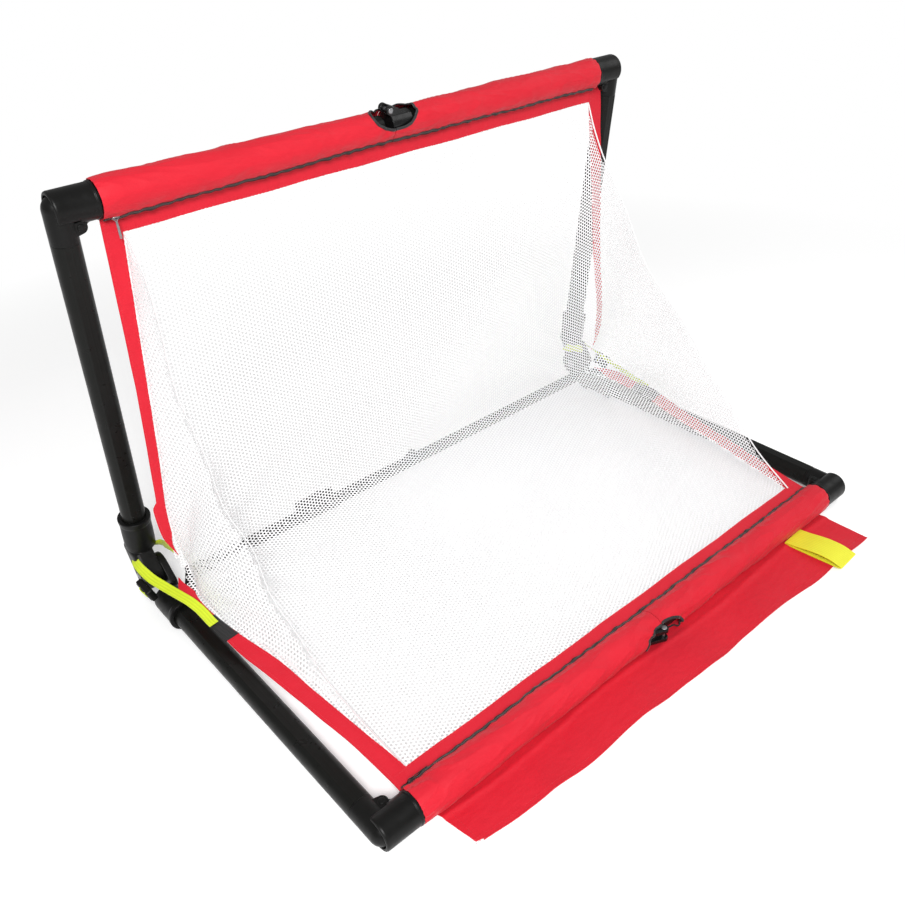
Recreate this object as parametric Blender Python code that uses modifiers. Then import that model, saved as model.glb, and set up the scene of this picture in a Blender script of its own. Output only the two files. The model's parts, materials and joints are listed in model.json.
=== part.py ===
# Folding mini soccer goal: two V-shaped sides of black tube, a crossbar, a ground bar and a slim
# rear bar that fold at their middles, red fabric sleeves, a white net with red borders, and an apron.
# Metres, +Z up, the goal mouth faces -Y. The origin is the middle of the footprint, on the ground.
import math

import bmesh
import bpy
from mathutils import Matrix, Vector
from mathutils.geometry import convex_hull_2d

# Driving dimensions of the frame
SPAN = 1.155              # between the axes of the left and right arms
ARM_LENGTH = 0.733        # from the corner of the V to the axis of a bar
OPENING_DEG = 83.0        # angle of the V when the goal stands open
HINGE_RISE = 0.031        # from an arm's axis to the axis of the V hinge
ARM_RADIUS = 0.021
ARM_WALL = 0.0018
ARM_FLAT = 0.0195         # from the arm's axis to its long flats
BAR_RADIUS = 0.019
BAR_WALL = 0.0015
REAR_RADIUS = 0.0125
REAR_WALL = 0.0014
REAR_FORWARD = 0.1007     # from the corner of the V to the rear bar's axis
REAR_RISE = 0.0408        # from an arm's axis up to it, so it folds over the ground bar
CLEARANCE = 0.0003        # between pieces that touch
RUNNING = 0.0004          # between pieces that turn on each other
SHAVE = 0.0002            # a relief cut goes this far past the face it clears
SETBACK = 0.001           # a web starts this far inside its half of a middle knuckle
INSET = 0.0005            # and its rim lies this far inside the rim of its disc

# Rear knuckles of the V
COLLAR_RADIUS = 0.028
COLLAR_START = 0.080
COLLAR_END = 0.152
KNUCKLE_RADIUS = 0.029
TONGUE_HALF = 0.011       # half the thickness of the lower knuckle's tongue
KNUCKLE_HALF = 0.0255     # half the thickness of the whole knuckle
KNUCKLE_PIN_RADIUS = 0.005
PIN_HEAD_RADIUS = 0.009
PIN_HEAD_HEIGHT = 0.0024

# Corners, where a bar folds against its arm
PIVOT_INBOARD = 0.022     # corner pivot from the arm's axis, towards the middle
PIVOT_BEHIND = 0.028      # corner pivot from the bar's axis, towards the knuckle
BARREL_RADIUS = 0.027
BARREL_OUTBOARD = 0.0104
BARREL_INBOARD = 0.0545
BARREL_ROUND = 0.002
BARREL_LIP = 0.0005       # how far the lip at the sleeve's end stands proud
LIP_WIDTH = 0.004
LUG_RADIUS = 0.010
LUG_HALF = 0.008
EAR_HALF = 0.016
SMALL_PIN_RADIUS = 0.004
SMALL_HEAD_RADIUS = 0.0062
SMALL_HEAD_HEIGHT = 0.0016
PLUG_DEPTH = 0.028        # how far a plug or a tube end goes into its mate

# Knuckles in the middle of the bars
MID_OUTWARD = 0.0278      # middle pivot from the bar's axis, away from the V knuckles
MID_DISC_RADIUS = 0.0080
MID_TONGUE_HALF = 0.0052
MID_EAR_HALF = 0.0128
MID_PIN_RADIUS = 0.003
MID_HEAD_RADIUS = 0.0052
MID_WEB_LONG = 0.038      # how far the web runs along its collar on the right half
MID_WEB_SHORT = 0.020     # and on the left half
MID_COLLAR_RADIUS = 0.0225
MID_COLLAR_LENGTH = 0.045
REAR_MID_OFFSET = 0.015   # middle pivot of the rear bar, behind its axis
REAR_DISC_RADIUS = 0.0075
REAR_TONGUE_HALF = 0.0045
REAR_EAR_HALF = 0.0105
REAR_SOCKET_RADIUS = 0.0143
REAR_LUG_HALF = 0.0055
REAR_LUG_RISE = 0.0342    # the lug lies under the folded upper knuckle, lower than its bar

# Fabric
SLEEVE_RADIUS = 0.0275
SLEEVE_WALL = 0.0012
WINDOW_HALF_LENGTH = 0.047       # of the opening over a middle knuckle, along the bar
WINDOW_X = 0.007                 # its middle, to the right of the fold
GROUND_WINDOW_DEG = (-84.0, 38.0)    # round the bar, from straight out to the inside of the V
CROSSBAR_WINDOW_DEG = (-39.0, 90.0)
ZIP_INWARD = 0.0012       # the zip's middle stands this far off the sleeve
ZIP_WIDTH = 0.008
ZIP_THICKNESS = 0.0016
ZIP_ANGLE_DEG = 31.0      # round the sleeve, from straight behind the bar to the inside of the V
SLIDER_SIZE = (0.012, 0.009, 0.0032)
PULL_SIZE = (0.0072, 0.030, 0.0014)
PULL_RISE_DEG = 12.0      # the stiff bridge holds the pull this far off the arms' plane
NET_TOP = 0.7053          # from the corner of the V up to the net's sewn edge
NET_INSIDE = 0.0035       # the sewn edge stands this far inside the arms' plane
NET_HALF_WIDTH = 0.523
NET_THICKNESS = 0.0016
BORDER = 0.030
SEAM = 0.0004             # between two panels of the net that are sewn together
NET_COLUMNS = 10
NET_ROWS = 6
SIDE_COLUMNS = 6
SIDE_ROWS = 5
CREASE_FORWARD = 0.1198   # the fold of the net in front of the rear bar
CREASE_RISE = 0.0578
FREE_EDGE_SAG = 0.17      # how far a side panel's free edge is scooped, as a share of its reach
FLAP_LEFT = -0.485
FLAP_RIGHT = 0.508
FLAP_BACK = 0.734
FLAP_FRONT = 0.850
FLAP_THICKNESS = 0.0012
FLAP_RIPPLE = 0.0035
FLAP_RIPPLES = 9
LOOP_WIDTH = 0.050
LOOP_CENTRE = 0.400
LOOP_BACK = 0.756
LOOP_FRONT = 0.868
LOOP_HEIGHT = 0.012
LOOP_WALL = 0.0016
STRAP_WIDTH = 0.020
STRAP_THICKNESS = 0.0014
BUCKLE_SIZE = (0.006, 0.027, 0.024)
TIE_X = -0.2514
TIE_LENGTH = 0.085
TIE_WALL = 0.002
TIE_TAIL = 0.016

# Places worked out from the dimensions
ARM_X = SPAN / 2
OPENING = math.radians(OPENING_DEG)
HINGE_FORWARD = HINGE_RISE / math.tan(OPENING / 2)
FLAT_DEPTH = 0.0005
FLOOR_DROP = BARREL_RADIUS - FLAT_DEPTH
REAR_EDGE = COLLAR_RADIUS * math.sin(OPENING) - COLLAR_START * math.cos(OPENING)
FRONT_EDGE = LOOP_FRONT + LOOP_WALL / 2
Y_SHIFT = (FRONT_EDGE - REAR_EDGE) / 2
PIVOT_X = ARM_X - PIVOT_INBOARD
PIVOT_Y = -ARM_LENGTH + PIVOT_BEHIND
MID_Y = -ARM_LENGTH - MID_OUTWARD
REAR_MID_Y = -REAR_FORWARD + REAR_MID_OFFSET
REAR_PIVOT_Y = REAR_MID_Y - (MID_OUTWARD + PIVOT_BEHIND)
SLEEVE_END = ARM_X - BARREL_INBOARD - CLEARANCE

# The lower arms lie in the local XY plane; the upper half of the V is the same half turned by
# half a turn about the line that bisects the V.
LOWER = Matrix.Translation((0, Y_SHIFT, FLOOR_DROP))
BISECTOR = Vector((0, -math.cos(OPENING / 2), math.sin(OPENING / 2)))
UPPER = LOWER @ Matrix.Rotation(math.pi, 4, BISECTOR)
MIRROR = Matrix.Scale(-1, 4, (1, 0, 0))

ROUND = 20                # facets round a tube or a barrel
FINE_ROUND = 12           # facets round a pin or a small disc


def clear_scene():
    for thing in list(bpy.data.objects):
        bpy.data.objects.remove(thing, do_unlink=True)


def new_collection(name):
    group = bpy.data.collections.new(name)
    bpy.context.scene.collection.children.link(group)
    return group


def material(name, colour, roughness, metallic=0.0):
    mat = bpy.data.materials.new(name)
    mat.use_nodes = True
    shader = mat.node_tree.nodes["Principled BSDF"]
    shader.inputs["Base Color"].default_value = (*colour, 1)
    shader.inputs["Roughness"].default_value = roughness
    shader.inputs["Metallic"].default_value = metallic
    mat.diffuse_color = (*colour, 1)
    return mat


# Small modelling tools: each returns a mesh or an object that is later placed
def loose(mesh, name="shape"):
    thing = bpy.data.objects.new(name, mesh)
    WORKSHOP.objects.link(thing)
    return thing


def evaluated(thing):
    """The object's mesh with its modifiers applied; the object itself is removed."""
    bpy.context.view_layer.update()
    graph = bpy.context.evaluated_depsgraph_get()
    mesh = bpy.data.meshes.new_from_object(thing.evaluated_get(graph))
    mesh.transform(thing.matrix_world)
    bpy.data.objects.remove(thing, do_unlink=True)
    return mesh


def mesh_of(bm):
    mesh = bpy.data.meshes.new("mesh")
    bm.to_mesh(mesh)
    bm.free()
    return mesh


def tidied(mesh):
    """Weld loose caps and slivers and turn all faces outwards."""
    bm = bmesh.new()
    bm.from_mesh(mesh)
    bmesh.ops.remove_doubles(bm, verts=bm.verts, dist=2e-6)
    bmesh.ops.dissolve_degenerate(bm, edges=bm.edges, dist=1e-6)
    bmesh.ops.recalc_face_normals(bm, faces=bm.faces)
    bm.to_mesh(mesh)
    bm.free()
    return mesh


def flipped(mesh):
    """A mirror image of a mesh across X = 0."""
    copy = mesh.copy()
    bm = bmesh.new()
    bm.from_mesh(copy)
    bmesh.ops.transform(bm, matrix=MIRROR, verts=bm.verts)
    bmesh.ops.reverse_faces(bm, faces=bm.faces)
    bm.to_mesh(copy)
    bm.free()
    return copy


def axis_turn(axis):
    """Rotation that takes +Z to the named axis."""
    return {"X": Matrix.Rotation(math.pi / 2, 4, "Y"),
            "Y": Matrix.Rotation(-math.pi / 2, 4, "X"),
            "Z": Matrix.Identity(4)}[axis]


def turned(profile, axis, centre, steps=ROUND):
    """A solid of revolution: profile is (radius, place along the axis), from high to low."""
    bm = bmesh.new()
    points = [bm.verts.new((radius, 0, along)) for radius, along in profile]
    for first, second in zip(points, points[1:]):
        bm.edges.new((first, second))
    thing = loose(mesh_of(bm))
    screw = thing.modifiers.new("turn", "SCREW")
    screw.steps = screw.render_steps = steps
    screw.use_merge_vertices = True
    screw.merge_threshold = 1e-5
    thing.matrix_world = Matrix.Translation(centre) @ axis_turn(axis)
    return tidied(evaluated(thing))


def rod(radius, low, high, axis, centre, steps=ROUND, edge=0.0):
    """A cylinder from low to high along an axis through centre, with rounded rims if asked."""
    if edge:
        profile = [(0, high), (radius - edge, high), (radius, high - edge),
                   (radius, low + edge), (radius - edge, low), (0, low)]
        return turned(profile, axis, centre, steps)
    bm = bmesh.new()
    bmesh.ops.create_cone(bm, cap_ends=True, segments=steps, radius1=radius, radius2=radius,
                          depth=high - low)
    mesh = mesh_of(bm)
    shift = Matrix.Translation((0, 0, (high + low) / 2))
    mesh.transform(Matrix.Translation(centre) @ axis_turn(axis) @ shift)
    return mesh


def block(low, high):
    """A box between two corners."""
    bm = bmesh.new()
    bmesh.ops.create_cube(bm, size=1)
    size = Vector(high) - Vector(low)
    bmesh.ops.scale(bm, vec=size, verts=bm.verts)
    bmesh.ops.translate(bm, vec=(Vector(high) + Vector(low)) / 2, verts=bm.verts)
    return mesh_of(bm)


def ball(radius, centre, steps=ROUND):
    bm = bmesh.new()
    bmesh.ops.create_uvsphere(bm, u_segments=steps, v_segments=steps // 2, radius=radius)
    bmesh.ops.translate(bm, vec=centre, verts=bm.verts)
    return mesh_of(bm)


def disc_points(centre, radius, count=FINE_ROUND):
    return [(centre[0] + radius * math.cos(2 * math.pi * k / count),
             centre[1] + radius * math.sin(2 * math.pi * k / count)) for k in range(count)]


def plate(outline, half, edge=0.0, turn=Matrix.Identity(4), hull=True):
    """A flat plate with rounded rims: a filled 2D curve, extruded to both sides."""
    if hull:
        outline = [outline[k] for k in convex_hull_2d(outline)]
    curve = bpy.data.curves.new("outline", "CURVE")
    curve.dimensions = "2D"
    curve.fill_mode = "BOTH"
    curve.extrude = half - edge
    curve.bevel_depth = edge
    curve.bevel_resolution = 0
    curve.offset = -edge
    spline = curve.splines.new("POLY")
    spline.points.add(len(outline) - 1)
    for point, (x, y) in zip(spline.points, outline):
        point.co = (x, y, 0, 1)
    spline.use_cyclic_u = True
    thing = loose(curve)
    thing.matrix_world = turn
    return tidied(evaluated(thing))


def boolean(base, tools, operation):
    thing = loose(base)
    cutters = []
    for tool in tools:
        cutter = loose(tool, "cutter")
        cutters.append(cutter)
        modifier = thing.modifiers.new(operation.lower(), "BOOLEAN")
        modifier.operation = operation
        modifier.solver = "EXACT"
        modifier.object = cutter
    mesh = evaluated(thing)
    for cutter in cutters:
        bpy.data.objects.remove(cutter, do_unlink=True)
    return tidied(mesh)


def fuse(base, *others):
    return boolean(base, others, "UNION")


def cut(base, *cutters):
    return boolean(base, cutters, "DIFFERENCE")


def shell(points, thickness, offset=0.0):
    """A sheet through a grid of points, made solid with Solidify."""
    bm = bmesh.new()
    grid = [[bm.verts.new(point) for point in row] for row in points]
    for row, after in zip(grid, grid[1:]):
        for k in range(len(row) - 1):
            bm.faces.new((row[k], row[k + 1], after[k + 1], after[k]))
    thing = loose(mesh_of(bm))
    solid = thing.modifiers.new("thickness", "SOLIDIFY")
    solid.thickness = thickness
    solid.offset = offset
    solid.use_even_offset = True
    return tidied(evaluated(thing))


def netting(points, thickness, bar, solid_rim):
    """A coarse net: a grid whose inner faces are opened, made solid with Solidify."""
    bm = bmesh.new()
    grid = [[bm.verts.new(point) for point in row] for row in points]
    cells = []
    for j, (row, after) in enumerate(zip(grid, grid[1:])):
        for k in range(len(row) - 1):
            face = bm.faces.new((row[k], row[k + 1], after[k + 1], after[k]))
            if not solid_rim(j, k, len(grid) - 1, len(row) - 1):
                cells.append(face)
    bm.normal_update()
    bmesh.ops.inset_individual(bm, faces=cells, thickness=bar / 2)
    bmesh.ops.delete(bm, geom=cells, context="FACES_ONLY")
    thing = loose(mesh_of(bm))
    solid = thing.modifiers.new("thickness", "SOLIDIFY")
    solid.thickness = thickness
    solid.offset = 0
    return tidied(evaluated(thing))


def pipe(radius, wall, low, high, centre, flat=0.0):
    """A bare tube along Y or X: an outline with its bore as a second ring, extruded."""
    outline = disc_points((0, 0), radius, ROUND)
    if flat:
        outline = [(x, max(min(y, flat), -flat)) for x, y in outline]
    curve = bpy.data.curves.new("tube", "CURVE")
    curve.dimensions = "2D"
    curve.fill_mode = "BOTH"
    curve.extrude = (high - low) / 2
    for ring in (outline, disc_points((0, 0), radius - wall, ROUND)):
        spline = curve.splines.new("POLY")
        spline.points.add(len(ring) - 1)
        for point, (x, y) in zip(spline.points, ring):
            point.co = (x, y, 0, 1)
        spline.use_cyclic_u = True
    thing = loose(curve)
    axis, place = centre
    thing.matrix_world = (Matrix.Translation(place) @ axis_turn(axis)
                          @ Matrix.Translation((0, 0, (low + high) / 2)))
    return tidied(evaluated(thing))


# The V knuckles
def side_plane(x):
    """Turns a drawing in (y, z) into a plate whose thickness runs along X at x."""
    return Matrix(((0, 0, 1, x), (1, 0, 0, 0), (0, 1, 0, 0), (0, 0, 0, 1)))


def neck_outline():
    hub = (-HINGE_FORWARD, HINGE_RISE)
    joint = -COLLAR_START - 0.003
    reach = COLLAR_RADIUS - 0.0025
    return disc_points(hub, KNUCKLE_RADIUS, 24) + [(joint, reach), (joint, -reach)]


def collar():
    """The round socket of a knuckle, with a raised lip, bored for its arm."""
    lip = 0.008
    outer = turned([(0, -COLLAR_START), (COLLAR_RADIUS - 0.004, -COLLAR_START),
                    (COLLAR_RADIUS - 0.001, -COLLAR_START - 0.003),
                    (COLLAR_RADIUS - 0.0006, -COLLAR_END + lip),
                    (COLLAR_RADIUS, -COLLAR_END + lip - 0.0008),
                    (COLLAR_RADIUS, -COLLAR_END + 0.001),
                    (COLLAR_RADIUS - 0.001, -COLLAR_END), (0, -COLLAR_END)],
                   "Y", (ARM_X, 0, 0))
    return outer


def collar_bore():
    return rod(ARM_RADIUS + CLEARANCE, -COLLAR_END - 0.01, -COLLAR_END + 2 * PLUG_DEPTH, "Y",
               (ARM_X, 0, 0))


def hinge_hole(radius):
    return rod(radius, -KNUCKLE_HALF - 0.01, KNUCKLE_HALF + 0.01, "X",
               (ARM_X, -HINGE_FORWARD, HINGE_RISE), FINE_ROUND)


def ground_flat():
    """Cuts a flat foot under whatever would reach below the ground."""
    return block((-1, -1, -0.1), (1, 1, -FLOOR_DROP))


def knuckle_lower():
    tongue = plate(neck_outline(), TONGUE_HALF, 0.0012, side_plane(ARM_X))
    boss_top = REAR_LUG_RISE - REAR_LUG_HALF - CLEARANCE
    boss = rod(0.009, 0.0, boss_top, "Z", (PIVOT_X, REAR_PIVOT_Y, 0), FINE_ROUND)
    body = fuse(collar(), tongue, boss)
    pin_seat = rod(SMALL_PIN_RADIUS + CLEARANCE, boss_top - 0.009, boss_top + 0.01, "Z",
                   (PIVOT_X, REAR_PIVOT_Y, 0), FINE_ROUND)
    return cut(body, collar_bore(), hinge_hole(KNUCKLE_PIN_RADIUS + CLEARANCE), pin_seat,
               ground_flat())


def knuckle_upper():
    """Two cheeks that straddle the lower knuckle's tongue, on the same socket."""
    half = (KNUCKLE_HALF - TONGUE_HALF - RUNNING) / 2
    middle = KNUCKLE_HALF - half
    cheeks = [plate(neck_outline(), half, 0.0025, side_plane(ARM_X + side * middle))
              for side in (-1, 1)]
    body = fuse(collar(), *cheeks)
    slot = block((ARM_X - TONGUE_HALF - RUNNING, -COLLAR_START - 0.004, -0.05),
                 (ARM_X + TONGUE_HALF + RUNNING, 0.05, 0.09))
    return cut(body, collar_bore(), hinge_hole(KNUCKLE_PIN_RADIUS + CLEARANCE), slot)


def knuckle_pin():
    """A stout pin with a domed head outside each cheek."""
    seat = KNUCKLE_HALF + CLEARANCE
    crown = seat + PIN_HEAD_HEIGHT
    half = [(0, crown), (PIN_HEAD_RADIUS * 0.6, crown - 0.0004), (PIN_HEAD_RADIUS, crown - 0.0014),
            (PIN_HEAD_RADIUS, seat), (KNUCKLE_PIN_RADIUS, seat)]
    profile = half + [(radius, -along) for radius, along in reversed(half)]
    return turned(profile, "X", (ARM_X, -HINGE_FORWARD, HINGE_RISE), FINE_ROUND)


def arm_tube():
    low = -ARM_LENGTH + 0.050
    high = -COLLAR_END + 2 * PLUG_DEPTH - CLEARANCE
    return pipe(ARM_RADIUS, ARM_WALL, low, high, ("Y", (ARM_X, 0, 0)), ARM_FLAT)


# Corner fittings
def corner_eye():
    """The arm's domed end moulding, with two ears for the corner pin."""
    shoulder = -ARM_LENGTH + 0.050 - CLEARANCE
    plug = ARM_RADIUS - ARM_WALL - CLEARANCE
    dome = [(ARM_RADIUS * math.cos(a), -ARM_LENGTH - ARM_RADIUS * math.sin(a))
            for a in [math.pi / 2 * k / 5 for k in range(5)]]
    profile = ([(0, shoulder + PLUG_DEPTH), (plug - 0.001, shoulder + PLUG_DEPTH),
                (plug, shoulder + PLUG_DEPTH - 0.001), (plug, shoulder), (ARM_RADIUS, shoulder)]
               + dome + [(0, -ARM_LENGTH - ARM_RADIUS)])
    body = turned(profile, "Y", (ARM_X, 0, 0))
    half = (EAR_HALF - LUG_HALF - RUNNING) / 2
    middle = EAR_HALF - half
    outline = (disc_points((PIVOT_X, PIVOT_Y), LUG_RADIUS)
               + [(ARM_X - 0.010, PIVOT_Y + LUG_RADIUS + 0.003),
                  (ARM_X - 0.010, PIVOT_Y - LUG_RADIUS + 0.003)])
    ears = [plate(outline, half, 0.001, Matrix.Translation((0, 0, side * middle)))
            for side in (-1, 1)]
    body = fuse(body, *ears)
    slot = rod(LUG_RADIUS + RUNNING, -LUG_HALF - RUNNING, LUG_HALF + RUNNING, "Z",
               (PIVOT_X, PIVOT_Y, 0), FINE_ROUND)
    hole = rod(SMALL_PIN_RADIUS + CLEARANCE, -0.03, 0.03, "Z", (PIVOT_X, PIVOT_Y, 0), FINE_ROUND)
    return cut(body, slot, hole)


def barrel():
    """The bar's moulded end: a hood over the arm's dome and a lug at the inner corner."""
    lip = BARREL_RADIUS + BARREL_LIP
    step = -BARREL_INBOARD + LIP_WIDTH
    profile = [(0, BARREL_OUTBOARD), (BARREL_RADIUS - BARREL_ROUND, BARREL_OUTBOARD),
               (BARREL_RADIUS, BARREL_OUTBOARD - BARREL_ROUND), (BARREL_RADIUS, step + BARREL_LIP),
               (lip, step), (lip, -BARREL_INBOARD + BARREL_LIP),
               (lip - BARREL_LIP, -BARREL_INBOARD), (0, -BARREL_INBOARD)]
    body = turned(profile, "X", (ARM_X, -ARM_LENGTH, 0))
    gusset = plate([(PIVOT_X - 0.0092, PIVOT_Y + 0.0034), (PIVOT_X - 0.0098, PIVOT_Y - 0.0014),
                    (PIVOT_X - 0.0185, -ARM_LENGTH + 0.0230), (PIVOT_X - 0.016, -ARM_LENGTH + 0.010),
                    (PIVOT_X - 0.0010, -ARM_LENGTH + 0.010), (PIVOT_X - 0.0010, PIVOT_Y + 0.0060)],
                   LUG_HALF, 0.0, hull=False)
    body = fuse(body, gusset)
    room = ARM_RADIUS + 0.0006
    wide = room + 0.0009
    way_in = block((ARM_X - wide, -ARM_LENGTH + 0.001, -wide),
                   (ARM_X + 0.05, -ARM_LENGTH + 0.06, wide))
    quarter = [(room * math.cos(a), -room * math.sin(a))
               for a in [math.pi / 2 * k / 5 for k in range(5)]]
    hood = turned([(0, BARREL_OUTBOARD + 0.01), (room, BARREL_OUTBOARD + 0.01)]
                  + quarter + [(0, -room)], "X", (ARM_X, -ARM_LENGTH, 0))
    bore = rod(BAR_RADIUS + CLEARANCE, -BARREL_INBOARD - 0.01, -PLUG_DEPTH, "X",
               (ARM_X, -ARM_LENGTH, 0))
    relief = [rod(LUG_RADIUS + RUNNING, LUG_HALF + SHAVE / 2, EAR_HALF + 0.003, "Z",
                  (PIVOT_X, PIVOT_Y, 0), FINE_ROUND),
              rod(LUG_RADIUS + RUNNING, -EAR_HALF - 0.003, -LUG_HALF - SHAVE / 2, "Z",
                  (PIVOT_X, PIVOT_Y, 0), FINE_ROUND)]
    hole = rod(SMALL_PIN_RADIUS + CLEARANCE, -0.03, 0.03, "Z", (PIVOT_X, PIVOT_Y, 0), FINE_ROUND)
    body = cut(body, hood, way_in, bore)
    lug = plate(disc_points((PIVOT_X, PIVOT_Y), LUG_RADIUS), LUG_HALF + SHAVE, 0.001)
    return cut(fuse(body, lug), *relief, hole, ground_flat())


def small_pin(centre, seat, shank=SMALL_PIN_RADIUS, head=SMALL_HEAD_RADIUS):
    """A headed pin or rivet, the same at both ends."""
    crown = seat + CLEARANCE + SMALL_HEAD_HEIGHT
    half = [(0, crown), (head * 0.7, crown - 0.0003), (head, crown - 0.001),
            (head, seat + CLEARANCE), (shank, seat + CLEARANCE)]
    profile = half + [(radius, -along) for radius, along in reversed(half)]
    return turned(profile, "Z", centre, FINE_ROUND)


def bar_tube():
    inner = MID_COLLAR_LENGTH - PLUG_DEPTH - 0.002
    return pipe(BAR_RADIUS, BAR_WALL, inner, ARM_X - PLUG_DEPTH - 0.002,
                ("X", (0, -ARM_LENGTH, 0)))


# Middle knuckles: one half carries a tongue, the other two ears
def mid_web(half, z, far):
    """From the pivot's disc back to the collar, on the +X side only."""
    disc = [point for point in disc_points((0, MID_Y), MID_DISC_RADIUS - INSET, 16)
            if point[0] >= SETBACK]
    outline = disc + [(SETBACK, MID_Y - MID_DISC_RADIUS + 0.0004),
                      (SETBACK, -ARM_LENGTH - 0.001), (far, -ARM_LENGTH - 0.001),
                      (far, -ARM_LENGTH - MID_COLLAR_RADIUS + 0.003)]
    return plate(outline, half, 0.0, Matrix.Translation((0, 0, z)))


def mid_half(layers, relief, far):
    """A middle knuckle's half: collar, webs and discs in its layers, relief in the others."""
    body = turned([(0, MID_COLLAR_LENGTH), (MID_COLLAR_RADIUS - 0.001, MID_COLLAR_LENGTH),
                   (MID_COLLAR_RADIUS, MID_COLLAR_LENGTH - 0.001),
                   (MID_COLLAR_RADIUS, CLEARANCE), (0, CLEARANCE)],
                  "X", (0, -ARM_LENGTH, 0))
    webs = [mid_web((high - low) / 2, (high + low) / 2, far) for low, high in layers]
    discs = [rod(MID_DISC_RADIUS, low, high, "Z", (0, MID_Y, 0), 16) for low, high in layers]
    body = fuse(body, *webs, *discs)
    grooves = [rod(MID_DISC_RADIUS + RUNNING, low - SHAVE, high + SHAVE, "Z", (0, MID_Y, 0), 16)
               for low, high in relief]
    bore = rod(BAR_RADIUS + CLEARANCE, MID_COLLAR_LENGTH - PLUG_DEPTH - 0.003,
               MID_COLLAR_LENGTH + 0.01, "X", (0, -ARM_LENGTH, 0))
    hole = rod(MID_PIN_RADIUS + CLEARANCE, -0.03, 0.03, "Z", (0, MID_Y, 0), FINE_ROUND)
    return cut(body, *grooves, bore, hole)


def mid_tongue(far):
    inner = MID_TONGUE_HALF
    outer = MID_COLLAR_RADIUS + 0.001
    return mid_half([(-inner, inner)], [(inner, outer), (-outer, -inner)], far)


def mid_fork(far):
    """Drawn on the +X side and mirrored when placed."""
    inner = MID_TONGUE_HALF + RUNNING
    return mid_half([(inner, MID_EAR_HALF), (-MID_EAR_HALF, -inner)], [(-inner, inner)], far)


# The slim rear bar, level with the V hinge
def rear_half(layers, relief):
    centre = (0, -REAR_FORWARD, REAR_RISE)
    tube = rod(REAR_RADIUS, CLEARANCE, ARM_X - 0.052, "X", centre)
    bore = rod(REAR_RADIUS - REAR_WALL, 0.024, ARM_X, "X", centre)
    parts = []
    for low, high in layers:
        outline = [(SETBACK, REAR_MID_Y + 0.0010), (0.0068, REAR_MID_Y + 0.0010),
                   (SETBACK, -REAR_FORWARD), (0.020, -REAR_FORWARD),
                   (0.020, -REAR_FORWARD + REAR_RADIUS - 0.002)]
        parts.append(plate(outline, (high - low) / 2, 0.0,
                           Matrix.Translation((0, 0, REAR_RISE + (high + low) / 2))))
        parts.append(rod(REAR_DISC_RADIUS, REAR_RISE + low, REAR_RISE + high, "Z",
                         (0, REAR_MID_Y, 0), FINE_ROUND))
    body = fuse(tube, *parts)
    grooves = [rod(REAR_DISC_RADIUS + RUNNING, REAR_RISE + low - SHAVE,
                   REAR_RISE + high + SHAVE, "Z", (0, REAR_MID_Y, 0), FINE_ROUND)
               for low, high in relief]
    hole = rod(0.0025 + CLEARANCE, REAR_RISE - 0.02, REAR_RISE + 0.02, "Z",
               (0, REAR_MID_Y, 0), 16)
    return cut(body, bore, *grooves, hole)


def rear_tongue():
    inner = REAR_TONGUE_HALF
    outer = REAR_RADIUS + 0.002
    return rear_half([(-inner, inner)], [(inner, outer), (-outer, -inner)])


def rear_fork():
    inner = REAR_TONGUE_HALF + RUNNING
    return rear_half([(inner, REAR_EAR_HALF), (-REAR_EAR_HALF, -inner)], [(-inner, inner)])


def rear_mid_pin():
    seat = REAR_EAR_HALF + CLEARANCE
    profile = [(0, seat + 0.001), (0.0042, seat + 0.001), (0.0042, seat), (0.0025, seat),
               (0.0025, -seat), (0.0042, -seat), (0.0042, -seat - 0.001), (0, -seat - 0.001)]
    return turned(profile, "Z", (0, REAR_MID_Y, REAR_RISE), 16)


def rear_lug():
    """A cranked lug that carries the rear bar on the lower knuckle's boss."""
    elbow = (ARM_X - 0.046, -REAR_FORWARD)
    outline = (disc_points((PIVOT_X, REAR_PIVOT_Y), 0.0088) + disc_points(elbow, 0.0105))
    arm = plate(outline, REAR_LUG_HALF, 0.0008, Matrix.Translation((0, 0, REAR_LUG_RISE)))
    socket = rod(REAR_SOCKET_RADIUS, -0.078, -0.041, "X", (ARM_X, -REAR_FORWARD, REAR_RISE),
                 ROUND, 0.001)
    body = fuse(socket, arm)
    bore = rod(REAR_RADIUS + CLEARANCE, -0.09, -0.0515, "X", (ARM_X, -REAR_FORWARD, REAR_RISE))
    hole = rod(SMALL_PIN_RADIUS + CLEARANCE, 0.0, 0.06, "Z", (PIVOT_X, REAR_PIVOT_Y, 0),
               FINE_ROUND)
    return cut(body, bore, hole)


def rear_pin():
    top = REAR_LUG_RISE + REAR_LUG_HALF + CLEARANCE
    foot = REAR_LUG_RISE - REAR_LUG_HALF - CLEARANCE - 0.0085
    profile = [(0, top + 0.0015), (0.0045, top + 0.0014), (SMALL_HEAD_RADIUS, top + 0.0008),
               (SMALL_HEAD_RADIUS, top), (SMALL_PIN_RADIUS, top), (SMALL_PIN_RADIUS, foot),
               (0, foot)]
    return turned(profile, "Z", (PIVOT_X, REAR_PIVOT_Y, 0), FINE_ROUND)


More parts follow.
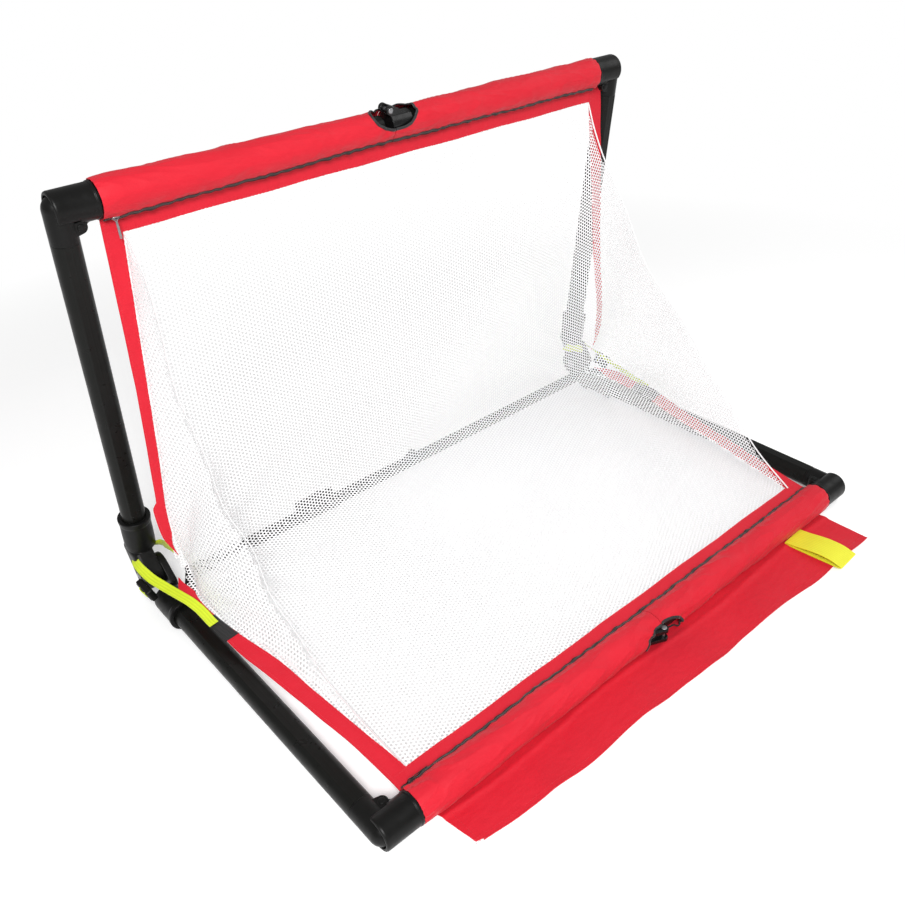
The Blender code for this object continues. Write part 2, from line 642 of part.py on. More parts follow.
def net_tie():
    """A tie of black webbing round the rear bar, its two ends pressed together behind and above."""
    lean = math.radians(50)
    ring = []
    count = 20
    gap = 0.0035
    radius = REAR_RADIUS + CLEARANCE + TIE_WALL / 2
    spread = math.asin(gap / 2 / radius)
    for k in range(count + 1):
        angle = lean + spread + (2 * math.pi - 2 * spread) * k / count
        ring.append((radius * math.cos(angle), radius * math.sin(angle)))
    along = Vector((math.cos(lean), math.sin(lean)))
    across = Vector((-along.y, along.x))
    reach = radius + TIE_TAIL
    first = along * reach + across * gap / 2
    last = along * reach - across * gap / 2
    path = [tuple(first)] + ring + [tuple(last)]
    rows = [[(TIE_X + side * TIE_LENGTH / 2, -REAR_FORWARD + y, REAR_RISE + z) for y, z in path]
            for side in (-1, 1)]
    return shell(rows, TIE_WALL)


# Fabric on the bars
def window(middle, span_deg):
    """Cutter for the opening over a middle knuckle, between two angles round the bar."""
    first, last = (math.radians(angle) for angle in span_deg)
    width = 2 * SLEEVE_RADIUS * math.sin((last - first) / 2)
    depth = SLEEVE_RADIUS * (1 - math.cos((last - first) / 2)) + 0.004
    shape = ball(1.0, (0, 0, 0), 14)
    shape.transform(Matrix.Translation((middle, -ARM_LENGTH, 0))
                    @ Matrix.Rotation(-(first + last) / 2, 4, "X")
                    @ Matrix.Translation((0, -SLEEVE_RADIUS + depth - 0.004, 0))
                    @ Matrix.Diagonal((WINDOW_HALF_LENGTH * 1.03, depth * 1.6, width * 0.53, 1)))
    return shape


def sleeve(middle, span_deg):
    """A tube of cloth on half a bar, flat where it lies, cut away over the middle knuckle."""
    steps = 2
    radius = SLEEVE_RADIUS - SLEEVE_WALL / 2
    lowest = -FLOOR_DROP + FLAP_THICKNESS + CLEARANCE + SLEEVE_WALL / 2
    rows = []
    for j in range(steps + 1):
        x = 0.001 + (SLEEVE_END - 0.001) * j / steps
        rows.append([(x, -ARM_LENGTH + radius * math.cos(a), max(radius * math.sin(a), lowest))
                     for a in [2 * math.pi * k / ROUND for k in range(ROUND)]])
    bm = bmesh.new()
    grid = [[bm.verts.new(point) for point in row] for row in rows]
    for row, after in zip(grid, grid[1:]):
        for k in range(ROUND):
            following = (k + 1) % ROUND
            bm.faces.new((row[k], row[following], after[following], after[k]))
    thing = loose(mesh_of(bm))
    solid = thing.modifiers.new("thickness", "SOLIDIFY")
    solid.thickness = SLEEVE_WALL
    solid.offset = 0
    return cut(tidied(evaluated(thing)), window(middle, span_deg))


def zip_place():
    """Middle of the zip in (y, z) and its outward direction."""
    angle = math.radians(ZIP_ANGLE_DEG)
    outward = Vector((math.cos(angle), math.sin(angle)))
    centre = Vector((-ARM_LENGTH, 0)) + outward * (SLEEVE_RADIUS + ZIP_INWARD)
    return centre, outward


def on_zip(low, high):
    """A box given by x, place along the zip's width, and height off the zip's middle."""
    centre, outward = zip_place()
    across = Vector((-outward.y, outward.x))
    mesh = block(low, high)
    mesh.transform(Matrix(((1, 0, 0, 0), (0, across.x, outward.x, centre.x),
                           (0, across.y, outward.y, centre.y), (0, 0, 0, 1))))
    return tidied(mesh)


def zip_half():
    """Half a zip: the tape with its raised chain of teeth."""
    end = SLEEVE_END - 0.010
    tape = on_zip((0.001, -ZIP_WIDTH / 2, -ZIP_THICKNESS / 2),
                  (end, ZIP_WIDTH / 2, ZIP_THICKNESS / 2))
    return tape


def zip_slider():
    """The slider rides over the teeth; its pull hangs from a small bridge, towards the V."""
    length, width, height = SLIDER_SIZE
    low = ZIP_THICKNESS / 2 + CLEARANCE
    start = SLEEVE_END - 0.012 - length
    body = on_zip((start, -width / 2, low), (start + length, width / 2, low + height))
    bridge = on_zip((start + 0.003, -0.0015, low + height - 0.0005),
                    (start + 0.009, 0.0015, low + height + 0.0015))
    centre, outward = zip_place()
    root = centre + outward * (low + height + 0.0008)
    pull_width, pull_length, pull_height = PULL_SIZE
    pull = block((-pull_width / 2, -0.002, -pull_height / 2),
                 (pull_width / 2, pull_length, pull_height / 2))
    pull.transform(Matrix.Translation((start + length / 2, root.x, root.y))
                   @ Matrix.Rotation(math.radians(PULL_RISE_DEG), 4, "X"))
    return fuse(body, bridge, pull)


# The net
def crease():
    """The net's fold in (y, z), in front of the rear bar and over it."""
    return Vector((-CREASE_FORWARD, CREASE_RISE))


def lower_edge():
    return Vector((-NET_TOP, NET_INSIDE))


def upper_edge():
    edge = LOWER.inverted() @ UPPER @ Vector((0, -NET_TOP, NET_INSIDE))
    return Vector((edge.y, edge.z))


def even_border(count, j, span):
    """Share along a row or column whose first and last cells are as wide as the border."""
    edge = BORDER / span
    if j == 0:
        return 0.0
    if j == count:
        return 1.0
    return edge + (1 - 2 * edge) * (j - 1) / (count - 2)


def net_panel(edge, back_off):
    """Half of the main sheet, with its border solid; it ends back_off short of the crease."""
    grid = []
    height = NET_TOP - CREASE_FORWARD
    for j in range(NET_ROWS + 1):
        down = even_border(NET_ROWS, j, height)
        row = []
        for k in range(NET_COLUMNS + 1):
            along = even_border(NET_COLUMNS, k, 2 * NET_HALF_WIDTH)
            x = NET_HALF_WIDTH * (2 * along - 1)
            fold = crease() + (edge - crease()).normalized() * back_off
            place = edge.lerp(fold, down)
            row.append((x, place.x, place.y))
        grid.append(row)

    def rim(j, k, rows, columns):
        return j == 0 or k == 0 or k == columns - 1

    return netting(grid, NET_THICKNESS, 0.012, rim)


def side_panel():
    """The triangular net of the right side: a fan from the knuckle to a scooped free edge."""
    x = NET_HALF_WIDTH - BORDER
    inner = NET_THICKNESS / 2 + SEAM
    corner = crease() + Vector((-inner, inner))
    low = lower_edge() + Vector((0.003, inner))
    high = upper_edge() + Vector((-inner, -0.003))
    grid = []
    for j in range(SIDE_ROWS + 1):
        share = j / SIDE_ROWS
        start = corner.lerp(low, share)
        finish = corner.lerp(high, share)
        row = []
        for k in range(SIDE_COLUMNS + 1):
            across = k / SIDE_COLUMNS
            place = start.lerp(finish, across)
            scoop = 1 - FREE_EDGE_SAG * 4 * across * (1 - across) * share
            place = corner + (place - corner) * scoop
            row.append((x + 0.002, place.x, place.y))
        grid.append(row)
    first = grid[0][0]
    spread = 0.012
    for k, point in enumerate(grid[0]):
        across = k / SIDE_COLUMNS
        towards = (Vector(grid[1][k]) - Vector(first)).normalized()
        grid[0][k] = tuple(Vector(first) + towards * spread)

    def rim(j, k, rows, columns):
        return j == 0

    return netting(grid, NET_THICKNESS, 0.011, rim)


def ribbon(path, across, thickness):
    """A strap: a strip along a path, its width lying along each point's across vector."""
    rows = [[Vector(point) - Vector(side), Vector(point) + Vector(side)]
            for point, side in zip(path, across)]
    columns = [list(column) for column in zip(*rows)]
    return shell(columns, thickness)


def strap():
    """Yellow webbing from the lower border's tab, over the collar and round behind the knuckle."""
    half = STRAP_WIDTH / 2
    outside = ARM_X + KNUCKLE_HALF + 0.0045
    inside = ARM_X - KNUCKLE_HALF - 0.0045
    top = COLLAR_RADIUS + 0.002
    path = [(ARM_X - 0.027, -0.214, 0.0265), (ARM_X - 0.014, -0.180, 0.0300),
            (ARM_X + 0.004, -0.145, top + 0.0028), (ARM_X + 0.0235, -0.105, 0.0322),
            (outside, -0.070, 0.0360), (outside + 0.0005, -0.035, 0.0410),
            (outside - 0.0005, -0.004, 0.0455), (ARM_X + 0.026, 0.009, 0.0465),
            (ARM_X + 0.014, 0.0155, 0.0480), (ARM_X, 0.0170, 0.0490),
            (ARM_X - 0.014, 0.0155, 0.0480), (ARM_X - 0.026, 0.009, 0.0470),
            (inside, -0.006, 0.0460), (inside, -0.035, 0.0480), (inside - 0.006, -0.058, 0.0490)]
    flat = Vector((half, 0, 0))
    upright = Vector((0, 0, -half))
    across = []
    for k in range(len(path)):
        share = min(1.0, max(0.0, (k - 1) / 3))
        across.append((flat.lerp(upright, share)).normalized() * half)
    across[0] = Vector((half * 0.9, half * 0.35, 0))
    return ribbon(path, across, STRAP_THICKNESS)


def strap_buckle():
    """A ladder lock with two slots, hanging on the strap at the knuckle's outer face."""
    depth, height, width = BUCKLE_SIZE
    outside = ARM_X + KNUCKLE_HALF + 0.0055
    frame = block((-depth / 2, -height / 2, -width / 2), (depth / 2, height / 2, width / 2))
    thing = loose(frame)
    bevel = thing.modifiers.new("edges", "BEVEL")
    bevel.width = 0.0012
    bevel.segments = 1
    frame = evaluated(thing)
    slots = [block((-depth, side * 0.0055 - 0.002, -width / 2 + 0.0025),
                   (depth, side * 0.0055 + 0.002, width / 2 - 0.0025)) for side in (-1, 1)]
    frame = cut(frame, *slots)
    frame.transform(Matrix.Translation((outside + depth / 2, -0.022, 0.020))
                    @ Matrix.Rotation(math.radians(20), 4, "X"))
    return frame


# The apron and its loop
def flap():
    """The apron on the ground in front of the ground bar, with its ripples."""
    columns = 36
    depth_steps = 3
    rows = []
    for j in range(depth_steps + 1):
        share = j / depth_steps
        row = []
        for k in range(columns + 1):
            along = k / columns
            x = FLAP_LEFT + (FLAP_RIGHT - FLAP_LEFT) * along
            wave = math.sin(2 * math.pi * FLAP_RIPPLES / 2 * along + 0.9 * math.sin(7 * along))
            y = -FLAP_BACK - (FLAP_FRONT - FLAP_BACK) * share
            lift = FLAP_RIPPLE * (1 + wave) / 2 * share
            z = -FLOOR_DROP + FLAP_THICKNESS / 2 + 0.00005 + lift
            row.append((x, y, z))
        rows.append(row)
    return shell(rows, FLAP_THICKNESS)


def handle_loop():
    """A loop of wide yellow webbing, flattened, lying on the apron."""
    count = 16
    length = LOOP_FRONT - LOOP_BACK
    outline = []
    base = -FLOOR_DROP + FLAP_THICKNESS + FLAP_RIPPLE + 0.0012
    for k in range(count + 1):
        share = k / count
        y = -LOOP_BACK - length * 0.5 * (1 - math.cos(math.pi * share))
        swell = math.sin(math.pi * share ** 1.6) ** 0.8 if 0 < share < 1 else 0.0
        outline.append((y, base + 0.0012 + LOOP_HEIGHT * swell))
    rows = []
    for side in (-1, 1):
        x = LOOP_CENTRE + side * LOOP_WIDTH / 2
        top = [(x, y, z) for y, z in outline]
        bottom = [(x, y, base) for y, z in reversed(outline[1:-1])]
        rows.append(top + bottom + [top[0]])
    bm = bmesh.new()
    grid = [[bm.verts.new(point) for point in row[:-1]] for row in rows]
    total = len(grid[0])
    for k in range(total):
        following = (k + 1) % total
        bm.faces.new((grid[0][k], grid[0][following], grid[1][following], grid[1][k]))
    thing = loose(mesh_of(bm))
    solid = thing.modifiers.new("thickness", "SOLIDIFY")
    solid.thickness = LOOP_WALL
    solid.offset = 0
    return tidied(evaluated(thing))


def place(name, mesh, frame, pivot, mat):
    """Put a finished mesh in the model, parented to the empty on its body's axis."""
    mesh.name = name
    mesh.materials.clear()
    mesh.materials.append(mat)
    mesh.shade_smooth()
    mesh.set_sharp_from_angle(angle=math.radians(40))
    thing = bpy.data.objects.new(name, mesh)
    GOAL.objects.link(thing)
    holder = PIVOTS[pivot]
    thing.parent = holder
    mesh.transform(holder.matrix_world.inverted() @ frame)
    return thing


def both_sides(name, mesh, frame, pivot, mat, upper=False):
    """The right-hand piece and its mirror image; the upper half's local right is the left."""
    sides = ("left", "right") if upper else ("right", "left")
    image = flipped(mesh)
    place(f"{name}_{sides[0]}", mesh, frame, f"{pivot}_{sides[0]}", mat)
    place(f"{name}_{sides[1]}", image, frame, f"{pivot}_{sides[1]}", mat)


def add_pivot(name, where):
    empty = bpy.data.objects.new(name, None)
    empty.empty_display_size = 0.03
    GOAL.objects.link(empty)
    empty.matrix_world = Matrix.Translation(where)
    PIVOTS[name] = empty


def add_pivots():
    """One empty for each rigid body, on the axis that the body turns about."""
    for side, sign in (("left", -1), ("right", 1)):
        hinge = (sign * ARM_X, -HINGE_FORWARD, HINGE_RISE)
        corner = (sign * PIVOT_X, PIVOT_Y, 0)
        high_corner = (-sign * PIVOT_X, PIVOT_Y, 0)
        rear = (sign * PIVOT_X, REAR_PIVOT_Y, REAR_LUG_RISE)
        add_pivot(f"lower_side_{side}", LOWER @ Vector(corner))
        add_pivot(f"upper_side_{side}", LOWER @ Vector(hinge))
        add_pivot(f"ground_half_{side}", LOWER @ Vector(corner))
        add_pivot(f"crossbar_half_{side}", UPPER @ Vector(high_corner))
        add_pivot(f"rear_half_{side}", LOWER @ Vector(rear))
    bpy.context.view_layer.update()


def build_sides(plastic, steel, webbing, black_webbing, net):
    both_sides("arm_lower", arm_tube(), LOWER, "lower_side", plastic)
    both_sides("arm_upper", arm_tube(), UPPER, "upper_side", plastic, upper=True)
    both_sides("knuckle_lower", knuckle_lower(), LOWER, "lower_side", plastic)
    both_sides("knuckle_upper", knuckle_upper(), UPPER, "upper_side", plastic, upper=True)
    both_sides("knuckle_pin", knuckle_pin(), LOWER, "lower_side", steel)
    both_sides("corner_eye_lower", corner_eye(), LOWER, "lower_side", plastic)
    both_sides("corner_eye_upper", corner_eye(), UPPER, "upper_side", plastic, upper=True)
    corner = (PIVOT_X, PIVOT_Y, 0)
    both_sides("corner_pin_lower", small_pin(corner, EAR_HALF), LOWER, "lower_side", steel)
    both_sides("corner_pin_upper", small_pin(corner, EAR_HALF), UPPER, "upper_side", steel,
               upper=True)
    both_sides("rear_pin", rear_pin(), LOWER, "lower_side", steel)
    both_sides("strap", strap(), LOWER, "lower_side", webbing)
    both_sides("strap_buckle", strap_buckle(), LOWER, "lower_side", black_webbing)
    both_sides("side_net", side_panel(), LOWER, "lower_side", net)


def build_bars(plastic, tube, steel, fabric, black_fabric):
    for bar, frame, upper in (("ground", LOWER, False), ("crossbar", UPPER, True)):
        half = f"{bar}_half"
        first, second = ("left", "right") if upper else ("right", "left")
        both_sides(f"{bar}_barrel", barrel(), frame, half, plastic, upper)
        both_sides(f"{bar}_tube", bar_tube(), frame, half, tube, upper)
        span = CROSSBAR_WINDOW_DEG if upper else GROUND_WINDOW_DEG
        offset = -WINDOW_X if upper else WINDOW_X
        place(f"{bar}_sleeve_{first}", sleeve(offset, span), frame, f"{half}_{first}", fabric)
        place(f"{bar}_sleeve_{second}", flipped(sleeve(-offset, span)), frame,
              f"{half}_{second}", fabric)
        both_sides(f"{bar}_zip", zip_half(), frame, half, black_fabric, upper)
        reach = {"left": MID_WEB_SHORT, "right": MID_WEB_LONG}
        place(f"{bar}_knuckle_{first}", mid_tongue(reach[first]), frame, f"{half}_{first}",
              plastic)
        place(f"{bar}_knuckle_{second}", flipped(mid_fork(reach[second])), frame,
              f"{half}_{second}", plastic)
        pin = small_pin((0, MID_Y, 0), MID_EAR_HALF, MID_PIN_RADIUS, MID_HEAD_RADIUS)
        place(f"{bar}_knuckle_pin", pin, frame, f"{half}_{second}", steel)
        slider = zip_slider() if upper else flipped(zip_slider())
        place(f"{bar}_zip_slider", slider, frame, f"{half}_left", steel)
    place("rear_bar_right", rear_tongue(), LOWER, "rear_half_right", tube)
    place("rear_bar_left", flipped(rear_fork()), LOWER, "rear_half_left", tube)
    place("rear_bar_pin", rear_mid_pin(), LOWER, "rear_half_left", steel)
    both_sides("rear_lug", rear_lug(), LOWER, "rear_half", plastic)
    place("net_tie", net_tie(), LOWER, "rear_half_left", black_fabric)


def build_cloth(net, fabric, webbing):
    place("net_lower", net_panel(lower_edge(), 0.0), LOWER, "lower_side_left", net)
    place("net_upper", net_panel(upper_edge(), NET_THICKNESS / 2 + SEAM), LOWER, "upper_side_left", net)
    place("apron", flap(), LOWER, "ground_half_left", fabric)
    place("handle_loop", handle_loop(), LOWER, "ground_half_right", webbing)


clear_scene()
GOAL = new_collection("folding_goal")
WORKSHOP = new_collection("cutters")
PIVOTS = {}
BLACK_PLASTIC = material("black_plastic", (0.012, 0.012, 0.013), 0.35)
BLACK_TUBE = material("black_tube", (0.014, 0.014, 0.015), 0.3)
STEEL = material("steel", (0.42, 0.42, 0.43), 0.35, 1.0)
RED_FABRIC = material("red_fabric", (0.78, 0.02, 0.045), 0.75)
WHITE_NET = material("white_net", (0.86, 0.86, 0.86), 0.7)
YELLOW_WEBBING = material("yellow_webbing", (0.72, 0.85, 0.01), 0.7)
BLACK_WEBBING = material("black_webbing", (0.012, 0.012, 0.013), 0.75)
add_pivots()
build_sides(BLACK_PLASTIC, STEEL, YELLOW_WEBBING, BLACK_WEBBING, WHITE_NET)
build_bars(BLACK_PLASTIC, BLACK_TUBE, STEEL, RED_FABRIC, BLACK_WEBBING)
build_cloth(WHITE_NET, RED_FABRIC, YELLOW_WEBBING)
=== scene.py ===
# Folding practice goal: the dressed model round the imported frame.
# Metres throughout. The lower half of each side lies in its own plane: x to the goal's right,
# y back towards the V knuckle, z towards the inside of the V. LOWER and UPPER place the two halves.
import json
import math

import bmesh
import bpy
import numpy as np
from mathutils import Matrix, Vector, noise


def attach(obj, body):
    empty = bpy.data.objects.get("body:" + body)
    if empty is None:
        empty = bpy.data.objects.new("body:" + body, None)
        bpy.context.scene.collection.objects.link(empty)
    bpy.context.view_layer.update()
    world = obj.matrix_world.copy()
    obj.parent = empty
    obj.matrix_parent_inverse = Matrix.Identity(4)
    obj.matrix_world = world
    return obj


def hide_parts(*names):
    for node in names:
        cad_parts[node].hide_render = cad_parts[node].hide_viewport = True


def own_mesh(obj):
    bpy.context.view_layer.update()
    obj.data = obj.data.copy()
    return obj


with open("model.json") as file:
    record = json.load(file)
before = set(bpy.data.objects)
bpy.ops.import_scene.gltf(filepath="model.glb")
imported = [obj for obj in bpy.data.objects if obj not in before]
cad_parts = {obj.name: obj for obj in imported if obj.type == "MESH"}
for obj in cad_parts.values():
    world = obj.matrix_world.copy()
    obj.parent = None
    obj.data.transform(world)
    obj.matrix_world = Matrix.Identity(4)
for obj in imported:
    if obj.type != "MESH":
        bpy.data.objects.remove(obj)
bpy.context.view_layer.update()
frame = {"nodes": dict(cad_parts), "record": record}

# Sizes: those of the solids, so that the dressed pieces sit where they do
SPAN = 1.155
ARM_LENGTH = 0.733
OPENING = math.radians(83.0)
HINGE_RISE = 0.031
ARM_RADIUS, ARM_WALL, ARM_FLAT = 0.021, 0.0018, 0.0195
BAR_RADIUS = 0.019
REAR_RADIUS, REAR_WALL = 0.0125, 0.0014
REAR_FORWARD, REAR_RISE = 0.1007, 0.0408
CLEARANCE, RUNNING, SHAVE = 0.0003, 0.0004, 0.0002
COLLAR_RADIUS, COLLAR_START, COLLAR_END = 0.028, 0.080, 0.152
KNUCKLE_RADIUS, KNUCKLE_HALF = 0.029, 0.0255
KNUCKLE_PIN_RADIUS, PIN_HEAD_RADIUS, PIN_HEAD_HEIGHT = 0.005, 0.009, 0.0024
PIVOT_INBOARD, PIVOT_BEHIND = 0.022, 0.028
BARREL_RADIUS, BARREL_OUTBOARD, BARREL_INBOARD = 0.027, 0.0104, 0.0545
LUG_RADIUS, LUG_HALF, EAR_HALF = 0.010, 0.008, 0.016
SMALL_PIN_RADIUS, SMALL_HEAD_RADIUS, SMALL_HEAD_HEIGHT = 0.004, 0.0062, 0.0016
PLUG_DEPTH = 0.028
MID_OUTWARD, MID_DISC_RADIUS = 0.0278, 0.0080
MID_TONGUE_HALF, MID_EAR_HALF = 0.0052, 0.0128
MID_PIN_RADIUS, MID_HEAD_RADIUS = 0.003, 0.0052
MID_COLLAR_RADIUS, MID_COLLAR_LENGTH = 0.0225, 0.045
REAR_MID_OFFSET, REAR_LUG_RISE, REAR_LUG_HALF = 0.015, 0.0342, 0.0055
REAR_SOCKET_RADIUS, REAR_DISC_RADIUS, REAR_PIN_RADIUS = 0.0143, 0.0075, 0.0025
REAR_TONGUE_HALF, REAR_EAR_HALF = 0.0045, 0.0105
SLEEVE_RADIUS, CLOTH = 0.0275, 0.0009
ZIP_ANGLE = math.radians(31.0)
NET_TOP, NET_INSIDE = 0.7053, 0.0035
CREASE = Vector((0.0, -0.1198, 0.0578))
FLAP_LEFT, FLAP_RIGHT = -0.485, 0.508
LOOP_BACK, LOOP_FRONT = 0.756, 0.868
TIE_X, TIE_LENGTH, TIE_TAIL = -0.2514, 0.085, 0.016

ARM_X = SPAN / 2
HINGE_FORWARD = HINGE_RISE / math.tan(OPENING / 2)
FLOOR_DROP = 0.0265
Y_SHIFT = 0.42538
PIVOT_X, PIVOT_Y = ARM_X - PIVOT_INBOARD, -ARM_LENGTH + PIVOT_BEHIND
MID_Y = -ARM_LENGTH - MID_OUTWARD
REAR_MID_Y = -REAR_FORWARD + REAR_MID_OFFSET
REAR_PIVOT_Y = REAR_MID_Y - (MID_OUTWARD + PIVOT_BEHIND)
SLEEVE_END = ARM_X - BARREL_INBOARD - CLEARANCE
LOWER = Matrix.Translation((0, Y_SHIFT, FLOOR_DROP))
BISECTOR = Vector((0, -math.cos(OPENING / 2), math.sin(OPENING / 2)))
UPPER = LOWER @ Matrix.Rotation(math.pi, 4, BISECTOR)
MIRROR = Matrix.Scale(-1, 4, (1, 0, 0))
AXIS_TURN = {"X": Matrix.Rotation(math.radians(90), 4, "Y"),
             "Y": Matrix.Rotation(math.radians(-90), 4, "X"), "Z": Matrix.Identity(4)}


# Node materials
class Finish:
    """A Principled material with a few shorthand calls for its procedural nodes."""

    def __init__(self, name, colour, roughness, **sockets):
        self.material = bpy.data.materials.new(name)
        self.material.use_nodes = True
        self.tree = self.material.node_tree
        self.shader = self.tree.nodes["Principled BSDF"]
        self.set("Base Color", (*colour, 1))
        self.set("Roughness", roughness)
        for socket, value in sockets.items():
            self.set(socket.replace("_", " "), value)
        self.height = None

    def set(self, socket, value):
        self.shader.inputs[socket].default_value = value

    def node(self, kind, **values):
        made = self.tree.nodes.new(kind)
        for name, value in values.items():
            if name in made.inputs:
                made.inputs[name].default_value = value
            else:
                setattr(made, name, value)
        return made

    def link(self, source, target):
        self.tree.links.new(source, target)

    def place(self, source="Object", scale=(1, 1, 1), turn=(0, 0, 0)):
        where = self.node("ShaderNodeTexCoord").outputs[source]
        mapping = self.node("ShaderNodeMapping")
        mapping.inputs["Scale"].default_value = scale
        mapping.inputs["Rotation"].default_value = turn
        self.link(where, mapping.inputs["Vector"])
        return mapping.outputs["Vector"]

    def noise(self, where, scale, detail=2.0, rough=0.5):
        made = self.node("ShaderNodeTexNoise", Scale=scale, Detail=detail, Roughness=rough)
        self.link(where, made.inputs["Vector"])
        return made.outputs["Fac"]

    def wave(self, where, scale, direction="X", distortion=0.0):
        made = self.node("ShaderNodeTexWave", Scale=scale, Distortion=distortion)
        made.bands_direction = direction
        self.link(where, made.inputs["Vector"])
        return made.outputs["Fac"]

    def math(self, operation, a, b):
        made = self.node("ShaderNodeMath")
        made.operation = operation
        for socket, value in zip(made.inputs, (a, b)):
            if hasattr(value, "links"):
                self.link(value, socket)
            else:
                socket.default_value = value
        return made.outputs[0]

    def range(self, value, low, high, start=0.0, end=1.0):
        made = self.node("ShaderNodeMapRange")
        for name, number in (("From Min", start), ("From Max", end), ("To Min", low), ("To Max", high)):
            made.inputs[name].default_value = number
        self.link(value, made.inputs["Value"])
        return made.outputs["Result"]

    def colours(self, value, first, second):
        made = self.node("ShaderNodeMix")
        made.data_type = "RGBA"
        made.inputs[6].default_value = (*first, 1)
        made.inputs[7].default_value = (*second, 1)
        self.link(value, made.inputs["Factor"])
        self.link(made.outputs[2], self.shader.inputs["Base Color"])

    def roughness(self, value, low, high, start=0.35, end=0.65):
        self.link(self.range(value, low, high, start, end), self.shader.inputs["Roughness"])

    def bump(self, value, distance, strength=1.0):
        made = self.node("ShaderNodeBump", Strength=strength, Distance=distance)
        self.link(value, made.inputs["Height"])
        if self.height is not None:
            self.link(self.height, made.inputs["Normal"])
        self.height = made.outputs["Normal"]
        self.link(self.height, self.shader.inputs["Normal"])


def moulded_black():
    """Satin black moulding: fine spark texture, a faint flow in its gloss."""
    it = Finish("moulded_black_plastic", (0.0050, 0.0050, 0.0047), 0.36, Specular_IOR_Level=0.16)
    where = it.place()
    it.bump(it.noise(where, 1900, 2.0), 0.00009, 0.35)
    it.bump(it.noise(where, 42, 3.0), 0.0004, 0.25)
    it.roughness(it.noise(where, 60, 4.0), 0.30, 0.44)
    it.colours(it.noise(where, 25, 3.0), (0.0042, 0.0042, 0.0040), (0.0066, 0.0066, 0.0063))
    return it.material


def arm_black(turn):
    """Black drawn tube: long faint drawing marks, scuffs that catch the light."""
    it = Finish("arm_black_" + ("upper" if turn else "lower"), (0.005, 0.005, 0.0045), 0.33,
                Specular_IOR_Level=0.15)
    where = it.place(scale=(420, 6, 420), turn=(turn, 0, 0))
    it.bump(it.noise(where, 1.0, 4.0, 0.65), 0.00012, 0.5)
    near = it.place()
    it.roughness(it.noise(near, 55, 5.0), 0.27, 0.42)
    it.colours(it.noise(near, 14, 3.0), (0.0040, 0.0041, 0.0036), (0.0068, 0.0070, 0.0062))
    return it.material


def glossy_black():
    """The middle knuckles, polished by the folding."""
    it = Finish("knuckle_gloss_black", (0.006, 0.006, 0.0061), 0.20, Specular_IOR_Level=0.30)
    where = it.place()
    it.bump(it.noise(where, 130, 3.0), 0.0003, 0.30)
    it.roughness(it.noise(where, 90, 4.0), 0.13, 0.30)
    return it.material


def red_cloth():
    """Bright red coated taffeta: a fine square weave, soft creases, a little sheen."""
    it = Finish("red_taffeta", (0.58, 0.008, 0.022), 0.55, Specular_IOR_Level=0.28, Sheen_Weight=0.05)
    flat = it.place("UV")
    warp = it.wave(flat, 330, "X", 0.4)
    weft = it.wave(flat, 330, "Y", 0.4)
    it.bump(it.math("MULTIPLY", warp, weft), 0.00022, 0.45)
    it.bump(it.noise(it.place("UV", scale=(1, 2.6, 1)), 34, 4.0, 0.6), 0.0022, 0.55)
    it.bump(it.noise(flat, 150, 3.0), 0.0006, 0.35)
    it.roughness(it.noise(flat, 30, 4.0), 0.50, 0.66)
    it.colours(it.noise(flat, 9, 4.0), (0.52, 0.0055, 0.018), (0.66, 0.0105, 0.027))
    return it.material


def red_tape():
    """The sewn border: the same cloth doubled, with puckers across its run."""
    it = Finish("red_border_cloth", (0.60, 0.008, 0.024), 0.58, Specular_IOR_Level=0.28, Sheen_Weight=0.05)
    flat = it.place("UV")
    it.bump(it.math("MULTIPLY", it.wave(flat, 330, "X", 0.4), it.wave(flat, 330, "Y", 0.4)), 0.00022, 0.45)
    it.bump(it.noise(it.place("UV", scale=(2.4, 0.8, 1)), 55, 3.0, 0.6), 0.0018, 0.5)
    it.colours(it.noise(flat, 11, 4.0), (0.54, 0.0055, 0.019), (0.66, 0.0105, 0.028))
    return it.material


def mesh_white():
    """White knitted yarn."""
    it = Finish("white_knitted_yarn", (0.86, 0.86, 0.865), 0.62, Sheen_Weight=0.2, Sheen_Roughness=0.4)
    where = it.place()
    it.bump(it.noise(where, 1500, 2.0), 0.00025, 0.5)
    it.colours(it.noise(where, 7, 3.0), (0.82, 0.82, 0.83), (0.90, 0.90, 0.90))
    return it.material


def hem_white():
    it = Finish("white_hem_binding", (0.86, 0.86, 0.865), 0.6, Sheen_Weight=0.15, Sheen_Roughness=0.4)
    flat = it.place("UV")
    it.bump(it.wave(flat, 300, "X", 0.5), 0.00025, 0.5)
    it.colours(it.noise(flat, 30, 3.0), (0.82, 0.82, 0.83), (0.90, 0.90, 0.90))
    return it.material


def webbing(name, light, dark, rib):
    """Ribbed webbing: ribs along its run, crossed by the weft."""
    it = Finish(name, light, 0.62, Sheen_Weight=0.15, Sheen_Roughness=0.4)
    flat = it.place("UV")
    ribs = it.wave(flat, rib, "Y", 0.15)
    weft = it.wave(flat, rib * 1.7, "X", 0.3)
    it.bump(ribs, 0.00045, 0.6)
    it.bump(weft, 0.0002, 0.5)
    # Painted shade: the colour follows the ribs' height, darker in the rib grooves, with a random tone from
    # the noise on top.
    groove_shade_and_tone = it.math("ADD", it.math("MULTIPLY", ribs, 0.6), it.math("MULTIPLY", it.noise(flat, 60, 3.0), 0.5))
    it.colours(groove_shade_and_tone, dark, light)
    return it.material


def dull_metal(name, colour, low, high):
    it = Finish(name, colour, 0.35, Metallic=1.0)
    where = it.place()
    it.roughness(it.noise(where, 260, 4.0), low, high)
    it.bump(it.noise(where, 700, 2.0), 0.00008, 0.3)
    return it.material


def thread(name, colour):
    it = Finish(name, colour, 0.6, Sheen_Weight=0.2)
    it.bump(it.wave(it.place(), 900, "DIAGONAL"), 0.0001, 0.5)
    return it.material


